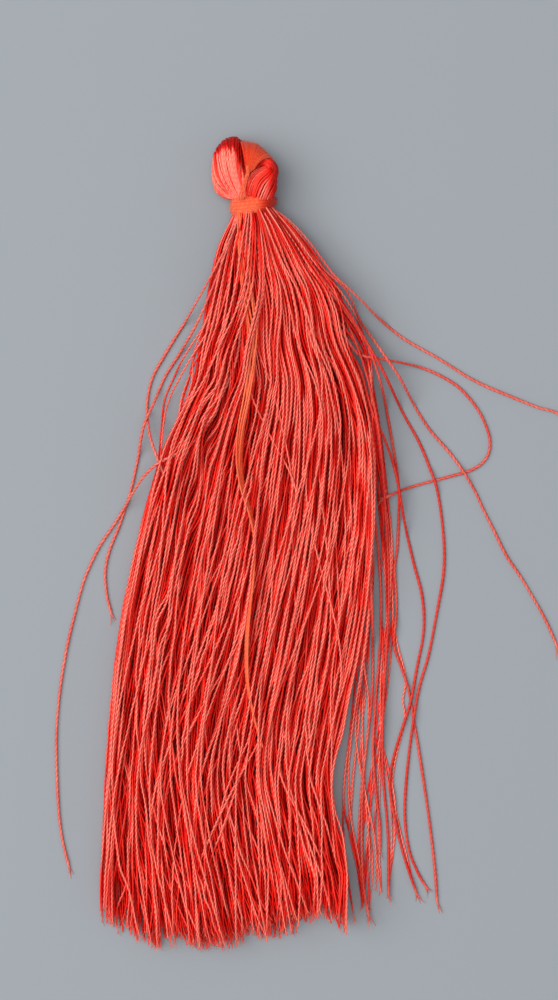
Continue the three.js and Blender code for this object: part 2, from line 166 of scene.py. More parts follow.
# A lock's threads: how far apart they lie, how far they turn round each other, the half waves in which the
# lock wanders, and those in which each thread does
LOCK_SPACING = 0.55 * MM
LOCK_SWIRL = 0.26 * MM
LOCK_WAVES = (0.9 * MM, 0.75 * MM, 0.42 * MM, 0.22 * MM)
THREAD_WAVES = (0.7 * MM, 0.5 * MM, 0.30 * MM, 0.20 * MM, 0.13 * MM, 0.10 * MM)
LOOSE = 0.4  # the looseness of a lock that is placed one by one
LOCK_ENDS = 0.7  # how unevenly locks end, in millimetres

# How threads go down the skirt. The first two are shares of its length: where the threads have fanned out
# from their places in the neck, and where their wandering begins and is full.
FANNED = 0.30
WANDERING = (0.06, 0.36)
EDGE_SOFT = 0.86  # threads that wander past this share of the skirt's half width turn along its edge
SPLAY = 0.17  # how far the threads turn aside towards their ends, per length, in the loose layers
SPLAY_FROM = (-36, -14)  # millimetres
SPLAY_LENGTH = 20 * MM
ROUTE_JOINED = 20 * MM  # over this length a thread leaves its place for its own route
SOFTENED = 3  # points of a plan over which it is softened

# A skirt thread's tone: a share of its own tone, and a rise from where the pile is deep to where it is open,
# which paints shade deep in the pile and a highlight where it is open. It is darker towards the tips, and in
# the neck too, as painted shade below the winding, unless its own tone is a pale one.
TONE_SHARE = 0.70
PAINTED_LIGHT_RISE = 1.15
TIP_DARKER = 0.32
TIPS = (-30 * MM, -56 * MM)
TIP_DARKEST = -0.15
NECK_PAINTED_SHADE = 1.15
PALE_FROM = 0.6

# How open to the sky a place on the pile is, which sets the skirt's painted shade and painted highlight: the
# directions and distances at which it looks at what is round it, the width over which the pile counts as
# level, and its openness where it is deep and where it is open
OPEN_DIRECTIONS = 8
OPEN_DISTANCES = (0.3 * MM, 0.5 * MM, 0.8 * MM, 1.3 * MM)
LEVEL_WIDTH = 1.5 * MM
OPEN_DEEP = 0.42
OPEN_FULL = 0.86

# Threads that come away from the right edge of the skirt and run down beside it: how many together, and
# their route. Millimetres.
OUTER_THREADS = [
    (3, [(21.2, 26.0), (22.0, 17.0), (23.6, 4.0), (24.0, -9.0), (23.2, -23.0), (22.3, -32.0), (21.2, -45.0),
         (20.4, -57.5)]),
    (2, [(21.4, 26.0), (22.3, 17.0), (24.2, 4.0), (24.6, -9.0), (23.5, -22.0), (22.9, -32.0), (22.8, -46.0),
         (23.2, -56.0)]),
    (2, [(21.6, 26.0), (22.8, 17.0), (24.8, 3.0), (25.2, -9.0), (23.9, -22.0), (23.4, -31.0), (25.0, -42.0),
         (24.5, -56.5)]),
    (1, [(21.6, 24.0), (22.6, 12.0), (24.0, -4.0), (25.4, -15.0), (27.3, -21.5), (26.8, -25.0),
         (27.4, -28.0), (26.0, -33.0), (25.0, -38.0), (25.6, -44.0), (27.8, -52.0), (28.8, -55.5)]),
    (1, [(21.2, 6.0), (21.4, -6.0), (20.4, -17.0), (21.4, -24.0), (21.2, -30.0), (20.0, -37.0),
         (19.6, -46.0), (20.6, -58.0)]),
    (1, [(21.0, 6.0), (21.0, -8.0), (19.6, -24.0), (18.0, -34.0), (17.2, -42.0), (18.7, -49.0),
         (20.2, -57.5)]),
    (1, [(20.8, 6.0), (20.6, -10.0), (19.0, -25.0), (17.5, -35.0), (17.0, -43.0), (18.0, -52.0),
         (19.2, -61.0)]),
    (1, [(21.0, 2.0), (20.8, -12.0), (19.3, -26.0), (18.0, -36.0), (18.0, -43.0), (19.7, -51.0),
         (21.3, -59.0)]),
    (2, [(20.8, 6.0), (20.4, -10.0), (19.6, -24.0), (18.8, -36.0), (18.6, -45.0), (19.8, -52.0),
         (21.4, -60.0)]),
    (2, [(21.4, 6.0), (21.4, -8.0), (20.9, -22.0), (20.4, -32.0), (20.7, -42.0), (21.4, -50.0),
         (21.0, -58.0)]),
    (1, [(21.2, 4.0), (21.1, -10.0), (20.0, -23.0), (19.3, -31.0), (20.5, -40.0), (22.2, -48.0),
         (22.6, -54.0)]),
]
OUTER_SHARES = (0.78, 0.98)  # where they lie across the skirt before that

# Places where the upper layers part and the lower ones show: x, y, the reach along y and the opening.
# Millimetres.
PARTINGS = [
    (-3.9, 19.0, 5.0, 1.0), (-7.0, 7.8, 4.0, 0.9), (-11.4, -12.2, 3.5, 0.9), (16.6, -42.0, 8.0, 1.0),
    (-18.0, -56.6, 3.5, 1.0),
]
PARTING_EDGE = 0.3 * MM
PARTING_REACH = 1.6 * MM

# The loose threads' plans, in metres: a lead over the skirt, from the neck or from where the thread comes out
# of the skirt, and then the CAD part's route. They are laid in the order of ROUTES.
LEADS = {
    "stray_right_loop": [
        (0.0052, 0.0526), (0.0078, 0.0478), (0.0112, 0.0420), (0.0150, 0.0362), (0.0176, 0.0322),
    ],
    "stray_right_low": [
        (0.0058, 0.0526), (0.0083, 0.0499), (0.0110, 0.0470), (0.0145, 0.0430),
    ],
    "stray_right_top": [
        (0.0060, 0.0526), (0.0086, 0.0512), (0.0122, 0.0472), (0.0156, 0.0426),
    ],
    "stray_right_inner": [
        (0.0052, 0.0526), (0.0072, 0.0490), (0.0106, 0.0446), (0.0150, 0.0398), (0.0180, 0.0358),
    ],
    "stray_right_mid": [
        (0.0056, 0.0526), (0.0080, 0.0492), (0.0114, 0.0448), (0.0156, 0.0396), (0.0196, 0.0338),
    ],
    "stray_right_cross": [
        (0.0050, 0.0526), (0.0074, 0.0474), (0.0110, 0.0414), (0.0150, 0.0354), (0.0178, 0.0308),
    ],
    "loose_lock_outer": [
        (0.0158, 0.0385), (0.0180, 0.0342), (0.0202, 0.0285), (0.0220, 0.0215), (0.0230, 0.0150),
    ],
    "loose_lock_middle": [
        (0.0200, 0.0140), (0.0209, 0.0100), (0.0218, 0.0060), (0.0226, 0.0000), (0.0231, -0.0060),
    ],
    "loose_lock_inner": [
        (0.0206, 0.0010), (0.0214, -0.0060), (0.0218, -0.0130), (0.0219, -0.0190),
    ],
    "stray_left_loop": [
        (0.0008, 0.0526), (-0.0004, 0.0490), (-0.0024, 0.0450), (-0.0046, 0.0410),
    ],
    "stray_left_low": [
        (0.0006, 0.0526), (-0.0008, 0.0480), (-0.0030, 0.0420), (-0.0060, 0.0352),
    ],
    "stray_left_long": [
        (0.0022, 0.0526), (0.0014, 0.0440), (0.0010, 0.0360), (0.0002, 0.0294), (-0.0022, 0.0234),
        (-0.0044, 0.0194), (-0.0070, 0.0158), (-0.0098, 0.0140), (-0.0122, 0.0128),
    ],
}
# The left loop's thread goes on from the end of its route, in under the skirt's edge
RUN_ON = {"stray_left_loop": [(-0.0124, 0.0138), (-0.0112, 0.0108)]}
ROUTES = {
    "stray_right_loop": [
        (0.0196, 0.0300), (0.0226, 0.0294), (0.0264, 0.0288), (0.0304, 0.0279), (0.0347, 0.0257),
        (0.0373, 0.0233), (0.0394, 0.0202), (0.0406, 0.0166), (0.0401, 0.0138), (0.0379, 0.0119),
        (0.0340, 0.0107), (0.0302, 0.0097), (0.0266, 0.0086), (0.0234, 0.0072),
    ],
    "stray_right_low": [
        (0.0176, 0.0402), (0.0202, 0.0350), (0.0235, 0.0300), (0.0260, 0.0264), (0.0284, 0.0223),
        (0.0310, 0.0182), (0.0347, 0.0139), (0.0379, 0.0090), (0.0396, 0.0054), (0.0414, 0.0018),
        (0.0433, -0.0020), (0.0456, -0.0054), (0.0475, -0.0086), (0.0493, -0.0118), (0.0506, -0.0146),
        (0.0514, -0.0166),
    ],
    "stray_right_top": [
        (0.0189, 0.0396), (0.0223, 0.0364), (0.0267, 0.0329), (0.0299, 0.0310), (0.0331, 0.0292),
        (0.0363, 0.0271), (0.0389, 0.0257), (0.0413, 0.0246), (0.0448, 0.0232), (0.0477, 0.0220),
        (0.0510, 0.0210), (0.0527, 0.0206),
    ],
    "stray_right_inner": [
        (0.0206, 0.0322), (0.0226, 0.0268), (0.0240, 0.0216), (0.0252, 0.0150), (0.0259, 0.0100),
        (0.0260, 0.0050), (0.0258, -0.0006), (0.0254, -0.0040), (0.0257, -0.0100), (0.0253, -0.0160),
        (0.0264, -0.0196), (0.0276, -0.0234), (0.0285, -0.0286), (0.0298, -0.0366), (0.0310, -0.0450),
        (0.0318, -0.0520), (0.0322, -0.0576),
    ],
    "stray_right_mid": [
        (0.0229, 0.0282), (0.0250, 0.0242), (0.0272, 0.0200), (0.0292, 0.0164), (0.0308, 0.0126),
        (0.0323, 0.0080), (0.0332, 0.0010), (0.0332, -0.0046), (0.0322, -0.0106), (0.0308, -0.0178),
        (0.0294, -0.0226), (0.0284, -0.0280), (0.0274, -0.0360), (0.0270, -0.0430), (0.0276, -0.0486),
        (0.0290, -0.0524), (0.0306, -0.0552),
    ],
    "stray_right_cross": [
        (0.0198, 0.0274), (0.0216, 0.0210), (0.0236, 0.0166), (0.0254, 0.0116), (0.0268, 0.0040),
        (0.0284, -0.0030), (0.0298, -0.0086), (0.0300, -0.0140), (0.0289, -0.0200), (0.0278, -0.0256),
        (0.0255, -0.0330), (0.0246, -0.0380), (0.0254, -0.0440), (0.0270, -0.0504), (0.0290, -0.0562),
    ],
    "loose_lock_outer": [
        (0.0236, 0.0090), (0.0239, 0.0040), (0.0243, -0.0020), (0.0244, -0.0090), (0.0241, -0.0160),
        (0.0236, -0.0240), (0.0234, -0.0320), (0.0236, -0.0380), (0.0242, -0.0450), (0.0244, -0.0500),
        (0.0244, -0.0562),
    ],
    "loose_lock_middle": [
        (0.0232, -0.0110), (0.0229, -0.0180), (0.0223, -0.0260), (0.0219, -0.0330), (0.0224, -0.0400),
        (0.0230, -0.0450), (0.0230, -0.0494),
    ],
    "loose_lock_inner": [
        (0.0217, -0.0250), (0.0210, -0.0310), (0.0203, -0.0380), (0.0201, -0.0460), (0.0203, -0.0540),
        (0.0212, -0.0594),
    ],
    "stray_left_loop": [
        (-0.0067, 0.0376), (-0.0093, 0.0336), (-0.0116, 0.0298), (-0.0134, 0.0264), (-0.0142, 0.0224),
        (-0.0139, 0.0190), (-0.0134, 0.0166),
    ],
    "stray_left_low": [
        (-0.0090, 0.0304), (-0.0114, 0.0266), (-0.0130, 0.0226), (-0.0146, 0.0188), (-0.0156, 0.0140),
        (-0.0168, 0.0086), (-0.0186, 0.0030), (-0.0202, -0.0010), (-0.0209, -0.0046), (-0.0206, -0.0084),
        (-0.0198, -0.0116),
    ],
    "stray_left_long": [
        (-0.0144, 0.0108), (-0.0164, 0.0080), (-0.0194, 0.0032), (-0.0219, -0.0006), (-0.0242, -0.0056),
        (-0.0258, -0.0114), (-0.0271, -0.0170), (-0.0282, -0.0240), (-0.0287, -0.0310), (-0.0285, -0.0400),
        (-0.0279, -0.0464), (-0.0266, -0.0520),
    ],
}

FROM_NECK = 50 * MM  # a lead that starts above this comes out of the neck
STRAY_FULL = 30 * MM  # below this such a thread has its full radius
LOCK_FULL = 20 * MM  # after this length one that comes out of the skirt has
LOCK_SUNK = 1.4 * MM  # how far such a thread's start lies below the skirt's top
LOCK_RISEN = 7 * MM
UNEVEN = 0.07  # how much a loose thread's radius varies

# The coil in which the top stray's unseen length is wound: two turns side by side, and then a part of one on
# top of them. Turns count from where the thread reaches the coil.
COIL_MIDDLE = (57.6 * MM, 20.4 * MM)
COIL_RADIUS = 3.85 * MM
COIL_TURNS = 2.45
COIL_ENTRY = math.radians(200)
COILED = "stray_right_top"  # the thread that ends in it
TURN_POINTS = 28
MOVES_IN = (0.85, 1.15)
MOVES_OUT = (1.9, 2.1)
MOVES_UP = (1.75, 2.1)

# The route of the tie's loose end over the skirt, in metres
TAIL_ROUTE = [
    (0.0012, 0.0520), (0.0012, 0.0475), (0.0016, 0.0420), (0.0023, 0.0375), (0.0027, 0.0335),
    (0.0023, 0.0285), (0.0016, 0.0230), (0.0008, 0.0180), (0.0006, 0.0130), (0.0013, 0.0085),
    (0.0026, 0.0045), (0.0033, 0.0005), (0.0031, -0.0045), (0.0024, -0.0100), (0.0018, -0.0160),
    (0.0018, -0.0220), (0.0027, -0.0275), (0.0040, -0.0320),
]

# The tie's yarn over the crown: its radius, thinner below TIE_FULL, and its layers, each with its count of
# yarns and the share by which it is drawn in towards the middle
TIE_RADIUS = 0.17 * MM
POINT_RADIUS = 0.12 * MM  # of the strands that run on to the neck
TIE_STEP = 0.25 * MM
TIE_MIDDLE = (2.4 * MM, 61.0 * MM, 4.0 * MM)
TIE_FULL = (57.8 * MM, 60.4 * MM)
TIE_LAYERS = [(16, 0.07), (30, 0.0)]

# Fine fibres that stand off the tie and the winding: their tone on the tie, their lengths in millimetres,
# and their radius
FUZZ_TONE = 0.8
FIBRE_LENGTHS = (0.2, 0.65)
FIBRE_RADIUS = 0.028 * MM

# The tie's loose end. Its yarns swing from side to side: by both spreads together until the second of
# TAIL_SPREADS, counted along it from the neck, and by the first spread alone from the first. The length of
# their waves is in millimetres. They are thinner above TAIL_FULL, and slightly paler above TAIL_UPPER.
TAIL_YARNS = 6
TAIL_RADIUS = 0.17 * MM
TAIL_STEP = 0.28 * MM
TAIL_SPREAD = (0.35 * MM, 0.40 * MM)
TAIL_SPREADS = (48 * MM, 22 * MM)
TAIL_WAVE = 7.0
TAIL_WAVE_MORE = 1.1  # for each further yarn
TAIL_FULL = (50 * MM, 38 * MM)
TAIL_UPPER = (14 * MM, 24 * MM)

PIECE_TRIANGLES = 150_000  # a skirt piece is closed once it has more

# The head's threads
LOOP_START = 54.6 * MM
LOOP_THIN = 0.13 * MM  # a loop's radius there
LOOP_FULL = 59.0 * MM  # above this it has its full radius
# Painted shade over the top of the head, where the loops turn away from the lamps
PAINTED_SHADE_CROWN = 61.8 * MM  # above this the loops are darker
PAINTED_SHADE_SLOPE = 1.9  # towards the right they are so from this much lower, per length
HEAD_TWIST = 0.7  # how clearly the plies of the head's threads show, where 1 is fully

# Loops of the head's threads, from one side to the other: the x at which each leaves the neck, its tip's x
# and y, how far it bows to the left, and its heights in front and behind. Millimetres.
LEFT_LOBE = [
    (1.6, 0.7, 64.0, 0.1, 7.5, 0.6), (1.2, -0.1, 64.4, 0.4, 8.3, 0.6), (0.7, -1.4, 64.1, 0.8, 8.4, 0.6),
    (0.3, -2.5, 63.2, 0.9, 7.7, 1.0), (0.0, -3.3, 61.6, 1.1, 6.6, 1.8), (-0.2, -3.5, 59.9, 1.4, 4.7, 2.9),
    (-0.2, -3.2, 58.9, 1.5, 4.0, 3.5),
]
CROWN = [
    (1.5, 0.4, 63.9, 0.0, 7.0, 0.8), (1.8, 1.4, 63.8, 0.0, 6.9, 0.8), (2.6, 2.8, 63.3, 0.0, 5.6, 0.8),
    (3.4, 4.2, 62.4, -0.2, 4.5, 1.0), (4.2, 5.5, 61.2, -0.3, 4.0, 1.4),
]

# The right lobe's bundle hooks over and back under the tie: its threads and those of a core inside it, where
# it has painted shade at its flank, and where painted shade in its hollow, as shares of its length. HOOK is
# its middle and its radius, in millimetres.
RIGHT_LOBE_THREADS = 44
RIGHT_LOBE_CORE = 40
CORE_SHARE = 0.86  # of the bundle's radius
HOOK_FULL = 58.0 * MM  # above this its threads have their full radius
PAINTED_SHADE_FLANK = (4.7 * MM, 6.5 * MM)
PAINTED_SHADE_HOLLOW = (0.50, 0.58)
HOOK = [
    (3.7, 54.4, 4.8, 1.9),
    (4.0, 56.0, 5.6, 2.4),
    (4.5, 57.3, 5.7, 2.4),
    (5.2, 58.3, 5.8, 1.75),
    (5.8, 59.2, 5.8, 1.1),
    (5.4, 60.0, 6.0, 0.9),
    (4.7, 60.3, 5.9, 0.8),
    (3.9, 59.8, 5.3, 0.85),
    (3.3, 58.5, 4.4, 1.0),
    (3.0, 56.6, 3.0, 1.3),
    (2.9, 54.4, 2.6, 1.3),
]

# The tie fans out from between the lobes, over the crown and down behind: its left, middle and right
# strands, and the strands that run on from its point to the neck. Millimetres.
TIE_GUIDES = [
    [
        (1.8, 57.6, 7.4), (1.8, 58.5, 8.3), (1.7, 59.5, 8.6), (1.5, 60.8, 8.7), (1.2, 62.2, 8.3),
        (1.0, 63.3, 6.5), (1.1, 63.6, 4.2), (1.5, 62.5, 1.9), (2.2, 58.8, 0.7),
    ],
    [
        (1.9, 57.6, 7.4), (2.0, 58.5, 8.4), (2.3, 59.4, 8.5), (2.7, 60.5, 8.4), (3.1, 61.8, 7.8),
        (3.4, 62.8, 6.2), (3.5, 63.1, 4.2), (3.1, 62.0, 1.9), (2.6, 58.6, 0.7),
    ],
    [
        (2.0, 57.6, 7.4), (2.3, 58.4, 8.2), (3.0, 59.0, 8.1), (3.5, 59.8, 8.0), (4.3, 60.5, 7.7),
        (5.4, 60.9, 6.6), (5.9, 60.8, 4.6), (5.0, 60.0, 2.0), (3.2, 58.0, 0.7),
    ],
]
TIE_POINT = [(1.6, 61.0, 8.5), (1.9, 59.4, 8.65), (2.0, 58.3, 8.6), (1.7, 57.3, 8.4), (1.4, 56.3, 8.2),
             (1.1, 55.3, 7.9), (0.9, 54.2, 7.4)]

# The winding round the neck: a band that is wider at its left, wound to and fro in layers
WRAP_Y = 53.9 * MM
WRAP_MIDDLE_Y = 54.0 * MM  # from which its fibres stand off
WRAP_LEFT_WIDTH = 3.2 * MM
WRAP_RIGHT_WIDTH = 2.2 * MM
WRAP_SLOPE = 0.13  # it rises to the right
WRAP_LEAN = 0.16  # and leans down to the front
WRAP_YARN = 0.125 * MM
WRAP_TURNS = 49
WRAP_POINTS = 40  # in a turn
WRAP_LAYERS = 3
WRAP_THICK = 0.16 * MM  # between the first turn's radius and the last one's
WRAP_ROUNDED = 0.60 * MM  # how much lower the band's edges are
WRAP_STEP = 0.3 * MM

# The thread's look: the clouds in its tone, the places of its colours on the scale of tone, which runs from
# painted shade to painted highlight, how much its groove takes the groove's colour of painted shade, the tint
# of its highlights, and the relief of its fibres
CLOUD_SCALE = 180.0
CLOUDS = 0.15
TONE_LOW = -1 / 3
TONE_HIGH = 1.0
TONE_PLACES = (0.0, 0.25, 0.62, 1.0)
GROOVE_SHADE_SHARE = 0.9
HIGHLIGHT = (1.0, 0.62, 0.45, 1.0)
FIBRE_SCALE = 9000.0
FIBRE_HEIGHT = 0.05 * MM


# ----- Lines

def lengths_along(line):
    steps = np.diff(line[:, :3], axis=0)
    return np.concatenate([[0.0], np.cumsum(np.linalg.norm(steps, axis=1))])


def evenly(line, step):
    """The line again, with its points evenly spaced, and with them whatever columns follow x, y and z."""
    along = lengths_along(line)
    at = np.linspace(0, along[-1], max(2, round(along[-1] / step) + 1))
    return np.stack([np.interp(at, along, column) for column in line.T], axis=1)


def spline_at(rows, places):
    """Rows of numbers, read on a smooth curve at places counted from 0 at the first row."""
    rows = np.asarray(rows, float)
    places = np.clip(np.asarray(places, float), 0, len(rows) - 1)
    ends = np.concatenate([2 * rows[:1] - rows[1:2], rows, 2 * rows[-1:] - rows[-2:-1]])
    start = np.minimum(places.astype(int), len(rows) - 2)
    share = (places - start).reshape(-1, *[1] * (rows.ndim - 1))
    a, b, c, d = (ends[start + k] for k in range(4))
    square = (2 * a - 5 * b + 4 * c - d) * share**2
    cube = (3 * b - a - 3 * c + d) * share**3
    return 0.5 * (2 * b + (c - a) * share + square + cube)


def curve_through(points, step):
    """Evenly spaced points on a smooth curve through a few points."""
    last = len(points) - 1
    return evenly(spline_at(points, np.linspace(0, last, SPLINE_PARTS * last + 1)), step)


def smooth_step(low, high, value):
    t = np.clip((value - low) / (high - low), 0, 1)
    return t * t * (3 - 2 * t)


def blurred(values, width):
    """Values along a line, softened over a width given in points."""
    reach = max(1, math.ceil(2.5 * width))
    weights = np.exp(-0.5 * (np.arange(-reach, reach + 1) / width) ** 2)
    padded = np.concatenate([np.full(reach, values[0]), values, np.full(reach, values[-1])])
    return np.convolve(padded, weights / weights.sum(), "valid")


def phase(rng):
    """Where in its period a wave starts."""
    return rng.uniform(0, 7)


def slow_waves(rng, down, sizes):
    """A smooth random line: half waves of these sizes, each shorter than the last."""
    total = np.zeros_like(down)
    for number, size in enumerate(sizes, start=1):
        total += size * rng.normal() * np.sin(math.pi * number * down + rng.uniform(0, 2 * math.pi))
    return total


def unit(vectors):
    return vectors / np.linalg.norm(vectors, axis=-1, keepdims=True)


# ----- The pile

class Pile:
    """The height, over a grid of the floor, of all that has been laid so far."""

    def __init__(self, low, high, cell):
        self.low = np.array(low)
        self.cell = cell
        size = np.ceil((np.array(high) - self.low) / cell).astype(int) + 1
        self.top = np.zeros(size)
        self.last = size - 1

    def cells(self, plan):
        return np.clip(np.rint((plan - self.low) / self.cell).astype(int), 0, self.last)

    def around(self, plan, radius):
        """The cells within a radius of each point of a plan, and the height of a ball over each."""
        reach = math.ceil(radius / self.cell)
        steps = np.arange(-reach, reach + 1)
        across, along = np.meshgrid(steps, steps, indexing="ij")
        away = self.cell * np.hypot(across, along)
        inside = away < radius
        near = np.stack([across[inside], along[inside]], axis=1)
        cells = np.clip(self.cells(plan)[:, None, :] + near[None, :, :], 0, self.last)
        return cells[..., 0], cells[..., 1], np.sqrt(radius**2 - away[inside] ** 2)

    def rest(self, plan, radius):
        """The height at which the middle of a thread rests at each point of its plan."""
        rows, columns, rise = self.around(plan, radius)
        return (self.top[rows, columns] + rise).max(axis=1)

    def stamp(self, line, radius):
        """Adds a thread to the pile."""
        dense = evenly(line, STAMP_STEP * self.cell)
        rows, columns, rise = self.around(dense[:, :2], radius)
        np.maximum.at(self.top, (rows, columns), dense[:, 2:3] + rise)


def settled(rest):
    """Heights of a springy thread that lies on the given heights: it bends over the high places."""
    place = LAY_STEP * np.arange(len(rest))
    away = place[:, None] - place[None, :]
    lifted = (rest[None, :] - away**2 / (2 * BEND_RADIUS)).max(axis=1)
    return blurred(lifted, SOFTEN / LAY_STEP)


def lay(pile, plan, radius, neck_height):
    """Lays a thread, which leaves the round neck at a height and comes down onto the pile."""
    even = evenly(np.asarray(plan, float), LAY_STEP)
    pressed = NESTING * radius
    rest = np.maximum(settled(pile.rest(even, pressed)), radius)
    held = smooth_step(*FLARE, even[:, 1])
    swollen = neck_height + SWELL * (neck_height - NECK_Z) * smooth_step(SWELL_FROM, SWELL_FULL, even[:, 1])
    line = np.column_stack([even, held * np.maximum(swollen, radius) + (1 - held) * rest])
    pile.stamp(line[held < HELD], pressed)
    return line


def bundle_rise(x):
    """How far the round bundle in the neck reaches up from its middle."""
    return math.sqrt(max(0.1 * NECK_BUNDLE**2, NECK_BUNDLE**2 - (x - NECK_X) ** 2))


# ----- Meshes

def turning_frames(line):
    """Two unit vectors across a line at each of its points, turning as little as they can."""
    tangents = unit(np.gradient(line, axis=0))
    start = np.array([0.0, 0.0, 1.0]) if abs(tangents[0][2]) < 0.9 else np.array([1.0, 0.0, 0.0])
    first = np.empty_like(line)
    x, y, z = start
    for k, (tx, ty, tz) in enumerate(tangents.tolist()):
        along = x * tx + y * ty + z * tz
        x, y, z = x - along * tx, y - along * ty, z - along * tz
        size = math.sqrt(x * x + y * y + z * z)
        x, y, z = x / size, y / size, z / size
        first[k] = (x, y, z)
    return first, np.cross(tangents, first)


class Threads:
    """Twisted threads gathered into one mesh."""

    def __init__(self):
        self.points = []
        self.triangles = []
        self.values = {"ridge": [], "shade": [], "pale": []}
        self.count = 0

    def add(self, line, radius, shade, sides=SIDES, start=0, twist=1.0, keep=None, notch=NOTCH, pale=0.0):
        """Adds a tube along a line. From ring to ring the crests of its two plies turn by one side."""
        count = len(line)
        radius, twist, shade, pale = (np.broadcast_to(np.asarray(value, float), count)[:, None]
                                      for value in (radius, twist, shade, pale))
        keep = np.ones(count, bool) if keep is None else keep
        first, second = turning_frames(line)
        angles = 2 * math.pi * np.arange(sides) / sides
        turn = 2 * math.pi * (np.arange(count) + start) / sides
        crest = np.abs(np.cos(angles[None, :] - turn[:, None]))
        ridge = crest * twist + UNTWISTED * (1 - twist)
        reach = radius * (notch + (1 - notch) * ridge)
        offset = np.cos(angles)[None, :, None] * first[:, None, :]
        offset = offset + np.sin(angles)[None, :, None] * second[:, None, :]
        rings = (line[:, None, :] + reach[:, :, None] * offset)[keep]
        self.push_rings(rings, line[0], line[-1])
        for name, value in (("ridge", ridge), ("shade", shade), ("pale", pale)):
            full = np.broadcast_to(value, (count, sides))[keep]
            self.values[name].append(np.concatenate([full.ravel(), [full[0].mean(), full[-1].mean()]]))

    def push_rings(self, rings, start, end):
        count, sides, _ = rings.shape
        index = self.count + np.arange(count * sides).reshape(count, sides)
        beside = np.roll(index, -1, axis=1)
        a, b, c, d = index[:-1], beside[:-1], beside[1:], index[1:]
        self.triangles.append(np.stack([a, b, c], axis=-1).reshape(-1, 3))
        self.triangles.append(np.stack([a, c, d], axis=-1).reshape(-1, 3))
        tips = self.count + count * sides
        self.triangles.append(np.stack([beside[0], index[0], np.full(sides, tips)], axis=-1))
        self.triangles.append(np.stack([index[-1], beside[-1], np.full(sides, tips + 1)], axis=-1))
        self.points.append(np.vstack([rings.reshape(-1, 3), start, end]))
        self.count += count * sides + 2

    def triangle_count(self):
        return sum(len(t) for t in self.triangles)

    def build(self, name, material, slot, *nodes):
        """The object with all of these threads, which stands for the CAD nodes."""
        mesh = bpy.data.meshes.new(name)
        mesh.from_pydata(np.vstack(self.points).tolist(), [], np.vstack(self.triangles).tolist())
        mesh.shade_smooth()
        mesh.validate()
        for attribute, values in self.values.items():
            layer = mesh.attributes.new(attribute, "FLOAT", "POINT")
            layer.data.foreach_set("value", np.concatenate(values).astype(np.float32))
        mesh.materials.append(material)
        piece = bpy.data.objects.new(name, mesh)
        bpy.context.scene.collection.objects.link(piece)
        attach(piece, "root")
        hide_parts(*nodes)
        return piece


def add_fray(threads, line, radius, shade, rng, plies, length):
    """The plies of a cut end, which come apart."""
    along = unit(line[-1] - line[-6])
    for _ in range(plies):
        aside = rng.normal(0, 1, 3)
        aside = unit(aside - along * aside.dot(along))
        reach = length * rng.uniform(0.3, 1.0)
        share = np.linspace(0, 1, 5)[:, None]
        path = line[-2] + along * reach * share + aside * (0.35 * radius + 0.4 * reach * share**1.5)
        thickness = 0.55 * radius * (1 - 0.75 * share[:, 0])
        path[:, 2] = np.maximum(path[:, 2], thickness)
        threads.add(path, thickness, shade, sides=3, twist=0, pale=0.2 + 0.5 * share[:, 0])


# ----- Materials

def value_of(tree, attribute):
    node = tree.nodes.new("ShaderNodeAttribute")
    node.attribute_name = attribute
    return node.outputs["Fac"]


def added(tree, a, b):
    node = tree.nodes.new("ShaderNodeMath")
    tree.links.new(a, node.inputs[0])
    tree.links.new(b, node.inputs[1])
    return node.outputs[0]


def ranged(tree, value, low, high, to_low, to_high):
    node = tree.nodes.new("ShaderNodeMapRange")
    tree.links.new(value, node.inputs["Value"])
    for name, number in (("From Min", low), ("From Max", high), ("To Min", to_low), ("To Max", to_high)):
        node.inputs[name].default_value = number
    return node.outputs["Result"]


def ramp(tree, value, places, colours):
    """A colour that follows a value through a colour at each of a few places."""
    node = tree.nodes.new("ShaderNodeValToRGB")
    tree.links.new(value, node.inputs["Fac"])
    elements = node.color_ramp.elements
    for place in places[2:]:
        elements.new(place)
    for element, place, colour in zip(elements, places, colours):
        element.position = place
        element.color = (*colour, 1)
    return node.outputs["Color"]


def mixed(tree, share, a, b):
    """The colour a, and by the share the plain colour b."""
    node = tree.nodes.new("ShaderNodeMixRGB")
    tree.links.new(share, node.inputs[0])
    tree.links.new(a, node.inputs[1])
    node.inputs[2].default_value = (*b, 1)
    return node.outputs["Color"]


def noise(tree, scale, detail):
    node = tree.nodes.new("ShaderNodeTexNoise")
    node.inputs["Scale"].default_value = scale
    node.inputs["Detail"].default_value = detail
    tree.links.new(tree.nodes.new("ShaderNodeTexCoord").outputs["Object"], node.inputs["Vector"])
    return node.outputs["Fac"]


def thread_material(name, tones, groove_shade, pale, roughness=0.45, specular=0.35, sheen=0.0, bump=0.25):
    """Thread: toned from painted shade to painted highlight, deeper between its plies as painted shade,
    varied from thread to thread and along each.
    """
    made = bpy.data.materials.new(name)
    made.use_nodes = True
    tree = made.node_tree
    shader = tree.nodes["Principled BSDF"]
    cloudy = ranged(tree, noise(tree, CLOUD_SCALE, 2.0), 0.3, 0.7, -CLOUDS, CLOUDS)
    place = ranged(tree, added(tree, value_of(tree, "shade"), cloudy), TONE_LOW, TONE_HIGH, 0.0, 1.0)
    # painted shade in the groove between the plies
    shaded_groove = ranged(tree, value_of(tree, "ridge"), 0.1, 0.8, GROOVE_SHADE_SHARE, 0.0)
    grooved = mixed(tree, shaded_groove, ramp(tree, place, TONE_PLACES, tones), groove_shade)
    tree.links.new(mixed(tree, value_of(tree, "pale"), grooved, pale), shader.inputs["Base Color"])
    shader.inputs["Roughness"].default_value = roughness
    shader.inputs["Specular IOR Level"].default_value = specular
    shader.inputs["Specular Tint"].default_value = HIGHLIGHT
    shader.inputs["Sheen Weight"].default_value = sheen
    shader.inputs["Sheen Roughness"].default_value = 0.4
    relief = tree.nodes.new("ShaderNodeBump")
    relief.inputs["Strength"].default_value = bump
    relief.inputs["Distance"].default_value = FIBRE_HEIGHT
    tree.links.new(noise(tree, FIBRE_SCALE, 1.0), relief.inputs["Height"])
    tree.links.new(relief.outputs["Normal"], shader.inputs["Normal"])
    return made
